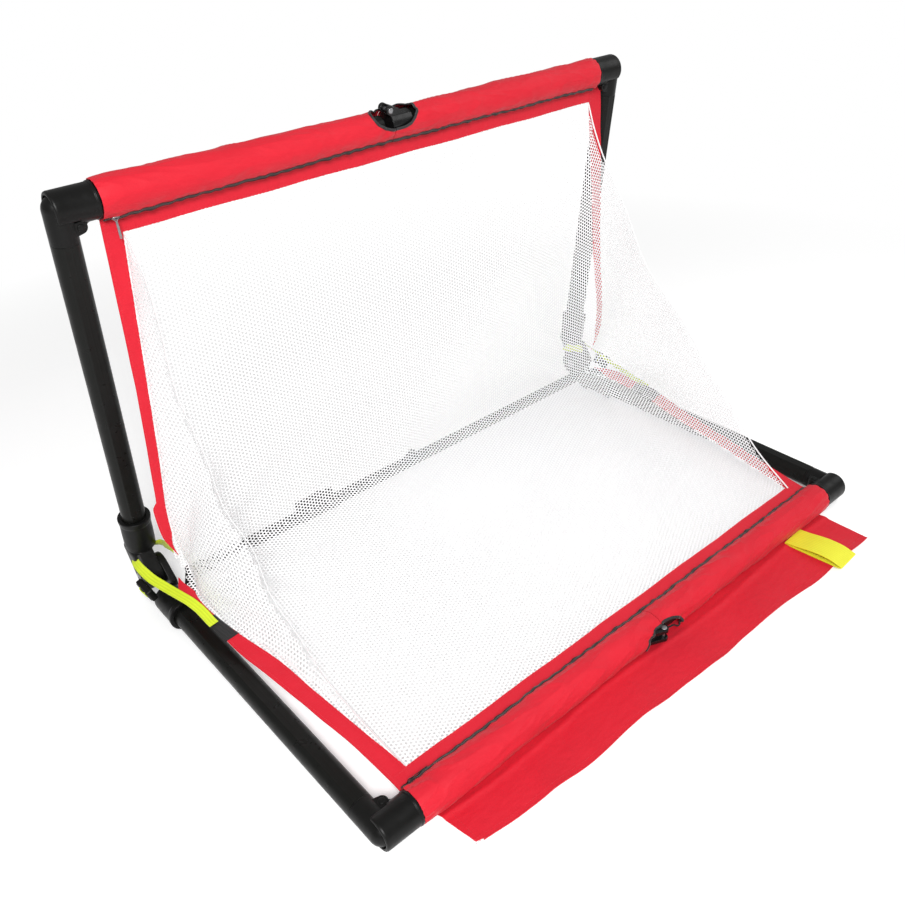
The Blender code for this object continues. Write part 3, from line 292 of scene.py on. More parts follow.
def teeth_black():
    it = Finish("zip_teeth_black", (0.014, 0.009, 0.008), 0.32)
    it.bump(it.noise(it.place(), 900, 2.0), 0.0001, 0.3)
    return it.material


MOULDED = moulded_black()
ARM_LOWER_BLACK = arm_black(0.0)
ARM_UPPER_BLACK = arm_black(math.pi + OPENING)
GLOSSY = glossy_black()
RED = red_cloth()
RED_BORDER = red_tape()
YARN = mesh_white()
HEM = hem_white()
YELLOW = webbing("yellow_ribbed_webbing", (0.66, 0.79, 0.020), (0.50, 0.62, 0.012), 62)
YELLOW_WIDE = webbing("yellow_wide_webbing", (0.80, 0.79, 0.030), (0.66, 0.64, 0.016), 62)
BLACK_WEB = webbing("black_ribbed_webbing", (0.013, 0.013, 0.014), (0.007, 0.007, 0.0075), 62)
ZIP_TAPE = webbing("zip_tape_black", (0.020, 0.011, 0.009), (0.012, 0.006, 0.005), 160)
STEEL = dull_metal("pin_steel", (0.30, 0.30, 0.31), 0.32, 0.5)
PULL_METAL = dull_metal("zip_pull_metal", (0.33, 0.33, 0.34), 0.34, 0.50)
TEETH = teeth_black()
RED_THREAD = thread("red_thread", (0.60, 0.012, 0.03))
YELLOW_THREAD = thread("yellow_thread", (0.55, 0.66, 0.015))



# Meshes: each function below returns a mesh in the V's own frame unless it says otherwise
def mesh_of(bm):
    mesh = bpy.data.meshes.new("shape")
    bm.to_mesh(mesh)
    bm.free()
    return mesh


def loose(data, name="shape"):
    thing = bpy.data.objects.new(name, data)
    bpy.context.scene.collection.objects.link(thing)
    return thing


def evaluated(thing):
    """The object's mesh with its modifiers applied; the object itself is removed."""
    bpy.context.view_layer.update()
    graph = bpy.context.evaluated_depsgraph_get()
    mesh = bpy.data.meshes.new_from_object(thing.evaluated_get(graph))
    mesh.transform(thing.matrix_world)
    bpy.data.objects.remove(thing, do_unlink=True)
    return mesh


def modified(mesh, *steps):
    """The mesh after its modifiers, each given as its kind and its settings."""
    thing = loose(mesh)
    for kind, settings in steps:
        modifier = thing.modifiers.new(kind.lower(), kind)
        for name, value in settings.items():
            setattr(modifier, name, value)
    return evaluated(thing)


def tidied(mesh, dist=2e-6):
    """Weld doubles and slivers and turn all faces outwards."""
    bm = bmesh.new()
    bm.from_mesh(mesh)
    bmesh.ops.remove_doubles(bm, verts=bm.verts, dist=dist)
    bmesh.ops.dissolve_degenerate(bm, edges=bm.edges, dist=1e-6)
    bmesh.ops.recalc_face_normals(bm, faces=bm.faces)
    bm.to_mesh(mesh)
    bm.free()
    return mesh


def turned(profile, axis, centre, steps=64):
    """A solid of revolution: profile is (radius, place along the axis), from high to low."""
    bm = bmesh.new()
    rings = []
    for radius, along in profile:
        if radius < 1e-6:
            rings.append([bm.verts.new((0, 0, along))])
        else:
            rings.append([bm.verts.new((radius * math.cos(2 * math.pi * k / steps),
                                        radius * math.sin(2 * math.pi * k / steps), along))
                          for k in range(steps)])
    for ring, after in zip(rings, rings[1:]):
        for k in range(steps):
            following = (k + 1) % steps
            corners = [ring[k % len(ring)], ring[following % len(ring)],
                       after[following % len(after)], after[k % len(after)]]
            bm.faces.new(list(dict.fromkeys(corners)))
    bmesh.ops.recalc_face_normals(bm, faces=bm.faces)
    mesh = mesh_of(bm)
    mesh.transform(Matrix.Translation(centre) @ AXIS_TURN[axis])
    return mesh


def both_ends(half):
    """A pin's profile from the half above its middle."""
    return half + [(radius, -place) for radius, place in reversed(half)]


def rod(radius, low, high, axis, centre, steps=64, edge=0.0):
    profile = [(0, high), (radius - edge, high), (radius, high - edge),
               (radius, low + edge), (radius - edge, low), (0, low)]
    if not edge:
        profile = [(0, high), (radius, high), (radius, low), (0, low)]
    return turned(profile, axis, centre, steps)


def block(low, high):
    bm = bmesh.new()
    bmesh.ops.create_cube(bm, size=1)
    bmesh.ops.scale(bm, vec=Vector(high) - Vector(low), verts=bm.verts)
    bmesh.ops.translate(bm, vec=(Vector(high) + Vector(low)) / 2, verts=bm.verts)
    return mesh_of(bm)


def disc_points(centre, radius, count=40):
    return [(centre[0] + radius * math.cos(2 * math.pi * k / count),
             centre[1] + radius * math.sin(2 * math.pi * k / count)) for k in range(count)]


def hull(points):
    """Outline round a set of points in the plane."""
    points = sorted(set(points))

    def chain(run):
        kept = []
        for p in run:
            while len(kept) > 1 and ((kept[-1][0] - kept[-2][0]) * (p[1] - kept[-2][1])
                                     - (kept[-1][1] - kept[-2][1]) * (p[0] - kept[-2][0])) <= 0:
                kept.pop()
            kept.append(p)
        return kept[:-1]

    return chain(points) + chain(points[::-1])


def plate(outline, half, turn=Matrix.Identity(4), around=True):
    """A flat plate on an outline, half thick to each side."""
    if around:
        outline = hull(outline)
    bm = bmesh.new()
    low = [bm.verts.new((x, y, -half)) for x, y in outline]
    high = [bm.verts.new((x, y, half)) for x, y in outline]
    bm.faces.new(low)
    bm.faces.new(high)
    for k in range(len(low)):
        following = (k + 1) % len(low)
        bm.faces.new((low[k], low[following], high[following], high[k]))
    bmesh.ops.triangulate(bm, faces=[f for f in bm.faces if len(f.verts) > 4])
    bmesh.ops.recalc_face_normals(bm, faces=bm.faces)
    mesh = mesh_of(bm)
    mesh.transform(turn)
    return mesh


def boolean(base, tools, operation):
    thing = loose(base)
    cutters = []
    for tool in tools:
        cutter = loose(tool, "cutter")
        cutters.append(cutter)
        modifier = thing.modifiers.new(operation.lower(), "BOOLEAN")
        modifier.operation = operation
        modifier.solver = "EXACT"
        modifier.object = cutter
    mesh = evaluated(thing)
    for cutter in cutters:
        bpy.data.objects.remove(cutter, do_unlink=True)
    return tidied(mesh)


def fuse(base, *others):
    return boolean(base, others, "UNION")


def cut(base, *cutters):
    return boolean(base, cutters, "DIFFERENCE")


def softened(mesh, voxel=0.0008, rounds=3, keep=0.30):
    """A moulded look: every edge rounded a little by remeshing, smoothing and thinning."""
    return tidied(modified(mesh, ("REMESH", {"mode": "VOXEL", "voxel_size": voxel, "adaptivity": 0}),
                           ("SMOOTH", {"factor": 0.5, "iterations": rounds}),
                           ("DECIMATE", {"ratio": keep})), 1e-5)


def mirrored(mesh):
    """A mirror image of a mesh across X = 0, its faces still outwards."""
    copy = mesh.copy()
    bm = bmesh.new()
    bm.from_mesh(copy)
    bmesh.ops.transform(bm, matrix=MIRROR, verts=bm.verts)
    bmesh.ops.reverse_faces(bm, faces=bm.faces)
    bm.to_mesh(copy)
    bm.free()
    return copy


def joined(*meshes):
    """Several meshes as one, each keeping its own material slots."""
    bm = bmesh.new()
    materials = []
    for mesh in meshes:
        start = len(bm.faces)
        bm.from_mesh(mesh)
        bm.faces.ensure_lookup_table()
        slots = list(mesh.materials) or [None]
        lookup = []
        for material in slots:
            if material not in materials:
                materials.append(material)
            lookup.append(materials.index(material))
        for face in bm.faces[start:]:
            face.material_index = lookup[min(face.material_index, len(lookup) - 1)]
    whole = mesh_of(bm)
    for material in materials:
        whole.materials.append(material)
    return whole


def piece(name, mesh, body, material=None, matrix=None, smooth=40, replaces=()):
    """A finished object at the origin, riding on its body."""
    if matrix is not None:
        mesh.transform(matrix)
    if material is not None:
        mesh.materials.clear()
        mesh.materials.append(material)
    mesh.shade_smooth()
    if smooth:
        mesh.set_sharp_from_angle(angle=math.radians(smooth))
    mesh.name = name
    thing = loose(mesh, name)
    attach(thing, body)
    if replaces:
        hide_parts(*replaces)
    return thing


# Smooth curves through given places
def curve_through(places, count):
    """Catmull-Rom curve through the places, as count points spaced evenly along it."""
    places = [np.array(p, float) for p in places]
    ends = [2 * places[0] - places[1]] + places + [2 * places[-1] - places[-2]]
    dense = []
    for a, b, c, d in zip(ends, ends[1:], ends[2:], ends[3:]):
        for t in np.linspace(0, 1, 24, endpoint=False):
            dense.append(0.5 * (2 * b + (c - a) * t + (2 * a - 5 * b + 4 * c - d) * t ** 2
                                + (3 * b - a - 3 * c + d) * t ** 3))
    dense.append(places[-1])
    dense = np.array(dense)
    steps = np.r_[0, np.cumsum(np.linalg.norm(np.diff(dense, axis=0), axis=1))]
    wanted = np.linspace(0, steps[-1], count)
    return np.stack([np.interp(wanted, steps, dense[:, k]) for k in range(dense.shape[1])], axis=1)


def along(knots):
    """A smooth function through (place, value) knots."""
    path = curve_through(knots, 200)
    order = np.argsort(path[:, 0])
    return lambda value: float(np.interp(value, path[order, 0], path[order, 1]))


def sheet_mesh(grid, thickness=0.0, closed=False, uv=None, offset=0.0):
    """A cloth surface through a grid of points with UVs in metres, solid if a thickness is given."""
    rows, columns = len(grid), len(grid[0])
    bm = bmesh.new()
    verts = [[bm.verts.new(p) for p in row] for row in grid]
    layer = bm.loops.layers.uv.new("UVMap")
    if uv is None:
        across = [[0.0] * columns for _ in grid]
        down = [[0.0] * columns for _ in grid]
        for j in range(rows):
            for k in range(1, columns):
                across[j][k] = across[j][k - 1] + (Vector(grid[j][k]) - Vector(grid[j][k - 1])).length
        middle = columns // 2
        for j in range(1, rows):
            step = (Vector(grid[j][middle]) - Vector(grid[j - 1][middle])).length
            down[j] = [d + step for d in down[j - 1]]
        uv = [[(down[j][k], across[j][k]) for k in range(columns)] for j in range(rows)]
    last = columns if closed else columns - 1
    for j in range(rows - 1):
        for k in range(last):
            following = (k + 1) % columns
            face = bm.faces.new((verts[j][k], verts[j][following],
                                 verts[j + 1][following], verts[j + 1][k]))
            spots = [uv[j][k], uv[j][following], uv[j + 1][following], uv[j + 1][k]]
            if closed and following == 0:
                turn = 2 * uv[j][k][1] - uv[j][k - 1][1]
                spots[1] = (uv[j][0][0], turn)
                spots[2] = (uv[j + 1][0][0], turn)
            for loop, spot in zip(face.loops, spots):
                loop[layer].uv = spot
    mesh = mesh_of(bm)
    if not thickness:
        return mesh
    return modified(mesh, ("SOLIDIFY", {"thickness": thickness, "offset": offset, "use_even_offset": False}))


# Geometry Nodes: what repeats along a path, and the holes of the net
class Nodes:
    """A Geometry Nodes tree with named inputs, run once and left as a plain mesh."""

    def __init__(self, name, inputs):
        self.tree = bpy.data.node_groups.new(name, "GeometryNodeTree")
        face = self.tree.interface
        face.new_socket("Geometry", in_out="INPUT", socket_type="NodeSocketGeometry")
        self.sockets = {}
        for label, kind in inputs.items():
            made = face.new_socket(label, in_out="INPUT", socket_type="NodeSocket" + kind)
            self.sockets[label] = made.identifier
        face.new_socket("Geometry", in_out="OUTPUT", socket_type="NodeSocketGeometry")
        self.start = self.tree.nodes.new("NodeGroupInput")
        self.end = self.tree.nodes.new("NodeGroupOutput")

    def node(self, kind, links=None, **values):
        made = self.tree.nodes.new(kind)
        for name, value in values.items():
            if hasattr(made, name):
                setattr(made, name, value)
            else:
                made.inputs[name.replace("_", " ")].default_value = value
        for name, source in (links or {}).items():
            self.tree.links.new(source, made.inputs[name])
        return made

    def finish(self, geometry):
        whole = self.node("GeometryNodeRealizeInstances", {"Geometry": geometry})
        dressed = self.node("GeometryNodeSetMaterial", {"Geometry": whole.outputs[0],
                                                        "Material": self.start.outputs["Material"]})
        self.tree.links.new(dressed.outputs[0], self.end.inputs[0])

    def made(self, mesh, **values):
        thing = loose(mesh)
        modifier = thing.modifiers.new("nodes", "NODES")
        modifier.node_group = self.tree
        for label, value in values.items():
            modifier[self.sockets[label.replace("_", " ")]] = value
        return evaluated(thing)


def repeat_nodes():
    """Small rounded bars set along paths: stitches, and the coils of a zip."""
    it = Nodes("bars_along_a_path", {"Pitch": "Float", "Length": "Float", "Width": "Float",
                                     "Height": "Float", "Slant": "Float", "Sides": "Int",
                                     "Material": "Material"})
    paths = it.node("GeometryNodeMeshToCurve", {"Mesh": it.start.outputs["Geometry"]})
    spaced = it.node("GeometryNodeResampleCurve", {"Curve": paths.outputs[0],
                                                   "Length": it.start.outputs["Pitch"]}, mode="LENGTH")
    shape = it.node("GeometryNodeMeshUVSphere", {"Segments": it.start.outputs["Sides"]}, Rings=4, Radius=0.5)
    size = it.node("ShaderNodeCombineXYZ", {"X": it.start.outputs["Length"], "Y": it.start.outputs["Width"],
                                            "Z": it.start.outputs["Height"]})
    tangent = it.node("GeometryNodeInputTangent")
    up = it.node("GeometryNodeInputNamedAttribute", data_type="FLOAT_VECTOR", Name="up")
    first = it.node("FunctionNodeAlignRotationToVector", {"Vector": up.outputs[0]}, axis="Z")
    turn = it.node("FunctionNodeAlignRotationToVector", {"Rotation": first.outputs[0],
                                                         "Vector": tangent.outputs[0]},
                   axis="X", pivot_axis="Z")
    slant = it.node("ShaderNodeCombineXYZ", {"Z": it.start.outputs["Slant"]})
    more = it.node("FunctionNodeEulerToRotation", {"Euler": slant.outputs[0]})
    both = it.node("FunctionNodeRotateRotation", {"Rotation": turn.outputs[0], "Rotate By": more.outputs[0]},
                   rotation_space="LOCAL")
    bars = it.node("GeometryNodeInstanceOnPoints", {"Points": spaced.outputs[0], "Instance": shape.outputs[0],
                                                    "Rotation": both.outputs[0], "Scale": size.outputs[0]})
    it.finish(bars.outputs[0])
    return it


def net_nodes():
    """Six-sided cells round every point of a fine lattice, each opened in its middle."""
    it = Nodes("perforated_net", {"Opening": "Float", "Material": "Material"})
    cells = it.node("GeometryNodeDualMesh", {"Mesh": it.start.outputs["Geometry"]})
    ringed = it.node("GeometryNodeExtrudeMesh", {"Mesh": cells.outputs[0]}, mode="FACES",
                     Offset_Scale=0.0, Individual=True)
    opened = it.node("GeometryNodeScaleElements", {"Geometry": ringed.outputs["Mesh"],
                                                   "Selection": ringed.outputs["Top"],
                                                   "Scale": it.start.outputs["Opening"]}, domain="FACE")
    bare = it.node("GeometryNodeDeleteGeometry", {"Geometry": opened.outputs[0],
                                                  "Selection": ringed.outputs["Top"]},
                   domain="FACE", mode="ONLY_FACE")
    it.finish(bare.outputs[0])
    return it


BARS = repeat_nodes()
NET = net_nodes()


def path_mesh(paths):
    """Polylines of (point, up) pairs as bare edges with an up direction on each point."""
    points, ups, edges = [], [], []
    for path in paths:
        start = len(points)
        for point, up in path:
            points.append(tuple(point))
            ups.append(tuple(up))
        edges += [(k, k + 1) for k in range(start, len(points) - 1)]
    mesh = bpy.data.meshes.new("paths")
    mesh.from_pydata(points, edges, [])
    mesh.attributes.new("up", "FLOAT_VECTOR", "POINT").data.foreach_set("vector", np.ravel(ups))
    return mesh


def stitches(paths, material, pitch=0.0042, length=0.0032, width=0.0007, height=0.0005, slant=0.0, sides=6):
    return BARS.made(path_mesh(paths), Pitch=pitch, Length=length, Width=width, Height=height,
                     Slant=slant, Sides=sides, Material=material)


# Camera, lights, floor
AMBIENT = 0.52
FLOOR_LIFT = 0.20            # what the floor itself gives, so that its shadows stay faint
FLOOR_FADE = (1.5, 2.2)      # from the middle, where the lit floor turns into plain white
AIM = (0, 0, 0.3)
LAMPS = {"key": ((-1.75, -2.05, 2.55), AIM, 1.3, 124), "fill": ((2.6, -1.0, 2.6), AIM, 2.4, 30)}


def camera():
    azimuth, elevation, roll = math.radians(-39.3), math.radians(33.7), math.radians(-3.0)
    ahead = Vector((-math.sin(azimuth) * math.cos(elevation),
                    math.cos(azimuth) * math.cos(elevation), -math.sin(elevation)))
    right = ahead.cross(Vector((0, 0, 1))).normalized()
    up = right.cross(ahead)
    c, s = math.cos(roll), math.sin(roll)
    right, up = right * c + up * s, up * c - right * s
    data = bpy.data.cameras.new("camera")
    data.lens = 36.14
    data.sensor_width = 36.0
    data.clip_start = 0.05
    thing = loose(data, "camera")
    turn = Matrix((right, up, -ahead)).transposed().to_4x4()
    thing.matrix_world = Matrix.Translation((-0.960, -0.9706, 1.1495)) @ turn
    bpy.context.scene.camera = thing


def lamp(name, place, target, size, power):
    data = bpy.data.lights.new(name, "AREA")
    data.shape = "DISK"
    data.size = size
    data.energy = power
    thing = loose(data, name)
    way = Vector(target) - Vector(place)
    thing.matrix_world = Matrix.Translation(place) @ way.to_track_quat("-Z", "Y").to_matrix().to_4x4()


def light_and_floor():
    bpy.context.scene.view_settings.view_transform = "Standard"
    world = bpy.data.worlds.new("studio")
    bpy.context.scene.world = world
    world.use_nodes = True
    tree = world.node_tree
    tree.nodes.clear()
    out = tree.nodes.new("ShaderNodeOutputWorld")
    paths = tree.nodes.new("ShaderNodeLightPath")
    seen = tree.nodes.new("ShaderNodeMath")
    seen.operation = "MAXIMUM"
    tree.links.new(paths.outputs["Is Camera Ray"], seen.inputs[0])
    tree.links.new(paths.outputs["Is Transmission Ray"], seen.inputs[1])
    both = tree.nodes.new("ShaderNodeMixShader")
    soft = tree.nodes.new("ShaderNodeBackground")
    soft.inputs["Strength"].default_value = AMBIENT
    white = tree.nodes.new("ShaderNodeBackground")
    white.inputs["Strength"].default_value = 1.0
    tree.links.new(seen.outputs[0], both.inputs[0])
    tree.links.new(soft.outputs[0], both.inputs[1])
    tree.links.new(white.outputs[0], both.inputs[2])
    tree.links.new(both.outputs[0], out.inputs["Surface"])

    floor = Finish("studio_floor", (0.86, 0.86, 0.86), 0.9)
    tree = floor.tree
    paths = floor.node("ShaderNodeLightPath")
    seen = floor.math("MAXIMUM", paths.outputs["Is Camera Ray"],
                      floor.math("MAXIMUM", paths.outputs["Is Glossy Ray"],
                                 paths.outputs["Is Transmission Ray"]))
    distance = floor.node("ShaderNodeVectorMath")
    distance.operation = "LENGTH"
    floor.link(floor.place(), distance.inputs[0])
    near = floor.range(distance.outputs["Value"], 1.0, 0.0, *FLOOR_FADE)
    lit = tree.nodes.new("ShaderNodeBsdfDiffuse")
    lit.inputs["Color"].default_value = (0.9, 0.9, 0.9, 1)
    lift = tree.nodes.new("ShaderNodeEmission")
    lift.inputs["Strength"].default_value = FLOOR_LIFT
    bright = tree.nodes.new("ShaderNodeAddShader")
    floor.link(lit.outputs[0], bright.inputs[0])
    floor.link(lift.outputs[0], bright.inputs[1])
    pure = tree.nodes.new("ShaderNodeEmission")
    shown = tree.nodes.new("ShaderNodeMixShader")
    floor.link(near, shown.inputs[0])
    floor.link(pure.outputs[0], shown.inputs[1])
    floor.link(bright.outputs[0], shown.inputs[2])
    final = tree.nodes.new("ShaderNodeMixShader")
    floor.link(seen, final.inputs[0])
    floor.link(floor.shader.outputs[0], final.inputs[1])
    floor.link(shown.outputs[0], final.inputs[2])
    floor.link(final.outputs[0], tree.nodes["Material Output"].inputs["Surface"])
    bm = bmesh.new()
    bmesh.ops.create_circle(bm, cap_ends=True, segments=96, radius=14.0)
    bmesh.ops.translate(bm, vec=(0, 0, -0.0004), verts=bm.verts)
    mesh = mesh_of(bm)
    mesh.materials.append(floor.material)
    loose(mesh, "floor")

    for name, values in LAMPS.items():
        lamp(name, *values)


camera()
light_and_floor()


# Frame: the V's knuckles, its tubes, the corner fittings and their pins
def side_plane(x):
    return Matrix(((0, 0, 1, x), (1, 0, 0, 0), (0, 1, 0, 0), (0, 0, 0, 1)))


def collar():
    """The knuckle's socket with its flared mouth."""
    return turned([(0, -COLLAR_START), (0.0235, -COLLAR_START), (0.0268, -COLLAR_START - 0.0030),
                   (0.0274, -COLLAR_START - 0.012), (0.0274, -COLLAR_END + 0.0125),
                   (0.0282, -COLLAR_END + 0.0100), (0.0290, -COLLAR_END + 0.0020),
                   (0.0286, -COLLAR_END), (0, -COLLAR_END)], "Y", (ARM_X, 0, 0), 72)


def neck_outline():
    hub = (-HINGE_FORWARD, HINGE_RISE)
    joint = -COLLAR_START - 0.003
    reach = COLLAR_RADIUS - 0.0025
    return disc_points(hub, KNUCKLE_RADIUS, 56) + [(joint, reach), (joint, -reach)]


def collar_bore():
    return rod(ARM_RADIUS + CLEARANCE, -COLLAR_END - 0.01, -COLLAR_END + 2 * PLUG_DEPTH, "Y", (ARM_X, 0, 0))


def hinge_hole():
    return rod(KNUCKLE_PIN_RADIUS + CLEARANCE, -0.04, 0.04, "X", (ARM_X, -HINGE_FORWARD, HINGE_RISE), 32)


def ground_flat():
    return block((-1, -1, -0.1), (1, 1, -FLOOR_DROP))


def dome_plate(outline, steps):
    """A plate along x through (place, inset) steps, its rims drawn in where it is rounded."""
    outline = hull(outline)
    count = len(outline)
    normals = []
    for k in range(count):
        before, here, after = (Vector(outline[j % count]) for j in (k - 1, k, k + 1))
        way = ((here - before).normalized() + (after - here).normalized()).normalized()
        normals.append(Vector((way.y, -way.x)))
    bm = bmesh.new()
    rings = [[bm.verts.new((*(Vector(p) - n * inset), place)) for p, n in zip(outline, normals)]
             for place, inset in steps]
    for ring, after in zip(rings, rings[1:]):
        for k in range(count):
            following = (k + 1) % count
            bm.faces.new((ring[k], ring[following], after[following], after[k]))
    bmesh.ops.triangulate(bm, faces=[bm.faces.new(rings[0]), bm.faces.new(rings[-1])])
    bmesh.ops.recalc_face_normals(bm, faces=bm.faces)
    mesh = mesh_of(bm)
    mesh.transform(side_plane(ARM_X))
    return mesh


def knuckle_lower():
    disc = dome_plate(neck_outline(), [(-0.0255, 0.0046), (-0.0247, 0.0020), (-0.0230, 0.0005), (-0.0215, 0),
                                       (-0.0120, 0), (-0.0115, 0.0005)])
    boss_top = REAR_LUG_RISE - REAR_LUG_HALF - CLEARANCE
    boss = rod(0.009, 0.0, boss_top, "Z", (PIVOT_X, REAR_PIVOT_Y, 0), 32)
    body = fuse(collar(), disc, boss)
    seat = rod(SMALL_PIN_RADIUS + CLEARANCE, boss_top - 0.009, boss_top + 0.01, "Z",
               (PIVOT_X, REAR_PIVOT_Y, 0), 24)
    return softened(cut(body, collar_bore(), hinge_hole(), seat, ground_flat()), 0.0008, 4, 0.22)


def knuckle_upper():
    """The collar and a broad cheek, its outer rim fully rounded."""
    cheek = dome_plate(neck_outline(), [(-0.0110, 0.0005), (-0.0105, 0), (0.0150, 0), (0.0185, 0.0008),
                                        (0.0215, 0.0026), (0.0238, 0.0056), (0.0250, 0.0092),
                                        (0.0255, 0.0130)])
    return softened(cut(fuse(collar(), cheek), collar_bore(), hinge_hole()), 0.0008, 5, 0.24)


def knuckle_pin():
    """A stout pin with a domed head outside each cheek, recessed in its middle."""
    seat = KNUCKLE_HALF + CLEARANCE
    crown = seat + PIN_HEAD_HEIGHT
    half = [(0, crown - 0.0007), (PIN_HEAD_RADIUS * 0.36, crown - 0.0007), (PIN_HEAD_RADIUS * 0.42, crown),
            (PIN_HEAD_RADIUS * 0.68, crown - 0.0003), (PIN_HEAD_RADIUS * 0.9, crown - 0.0009),
            (PIN_HEAD_RADIUS, crown - 0.0017), (PIN_HEAD_RADIUS, seat), (KNUCKLE_PIN_RADIUS, seat)]
    return turned(both_ends(half), "X", (ARM_X, -HINGE_FORWARD, HINGE_RISE), 48)


def arm_tube():
    """The drawn tube: round with two long flats, and a low bead beside each flat's outer edge."""
    low = -ARM_LENGTH + 0.050
    high = -COLLAR_END + 2 * PLUG_DEPTH - CLEARANCE
    outer = []
    steps = 120
    for k in range(steps):
        a = 2 * math.pi * k / steps
        x, z = ARM_RADIUS * math.cos(a), ARM_RADIUS * math.sin(a)
        flat = ARM_FLAT - 0.0004
        z = max(min(z, flat), -flat)
        bead = math.exp(-((abs(a - math.radians(62)) / math.radians(3.4)) ** 2))
        bead += math.exp(-((abs(a - math.radians(298)) / math.radians(3.4)) ** 2))
        outer.append((x * (1 + 0.028 * bead), z * (1 + 0.028 * bead)))
    inner = [((ARM_RADIUS - ARM_WALL) * math.cos(2 * math.pi * k / steps),
              (ARM_RADIUS - ARM_WALL) * math.sin(2 * math.pi * k / steps)) for k in range(steps)]
    bm = bmesh.new()
    rings = [[bm.verts.new((ARM_X + x, y, z)) for x, z in ring]
             for ring, y in ((outer, low), (outer, high), (inner, high), (inner, low))]
    for ring, after in zip(rings, rings[1:] + rings[:1]):
        for k in range(steps):
            following = (k + 1) % steps
            bm.faces.new((ring[k], ring[following], after[following], after[k]))
    bmesh.ops.recalc_face_normals(bm, faces=bm.faces)
    return mesh_of(bm)


def corner_eye():
    """The arm's domed end moulding, with two ears for the corner pin."""
    shoulder = -ARM_LENGTH + 0.050 - CLEARANCE
    plug = ARM_RADIUS - ARM_WALL - CLEARANCE
    dome = [(ARM_RADIUS * math.cos(a), -ARM_LENGTH - ARM_RADIUS * math.sin(a))
            for a in [math.pi / 2 * k / 14 for k in range(14)]]
    profile = ([(0, shoulder + PLUG_DEPTH), (plug - 0.001, shoulder + PLUG_DEPTH),
                (plug, shoulder + PLUG_DEPTH - 0.001), (plug, shoulder), (ARM_RADIUS, shoulder)]
               + dome + [(0, -ARM_LENGTH - ARM_RADIUS)])
    body = turned(profile, "Y", (ARM_X, 0, 0), 72)
    half = (EAR_HALF - LUG_HALF - RUNNING) / 2
    middle = EAR_HALF - half
    outline = (disc_points((PIVOT_X, PIVOT_Y), LUG_RADIUS)
               + [(ARM_X - 0.010, PIVOT_Y + LUG_RADIUS + 0.003),
                  (ARM_X - 0.010, PIVOT_Y - LUG_RADIUS + 0.003)])
    ears = [plate(outline, half, Matrix.Translation((0, 0, side * middle))) for side in (-1, 1)]
    body = fuse(body, *ears)
    slot = rod(LUG_RADIUS + RUNNING, -LUG_HALF - RUNNING, LUG_HALF + RUNNING, "Z", (PIVOT_X, PIVOT_Y, 0), 40)
    hole = rod(SMALL_PIN_RADIUS + CLEARANCE, -0.03, 0.03, "Z", (PIVOT_X, PIVOT_Y, 0), 24)
    return softened(cut(body, slot, hole), 0.0006, 2, 0.25)


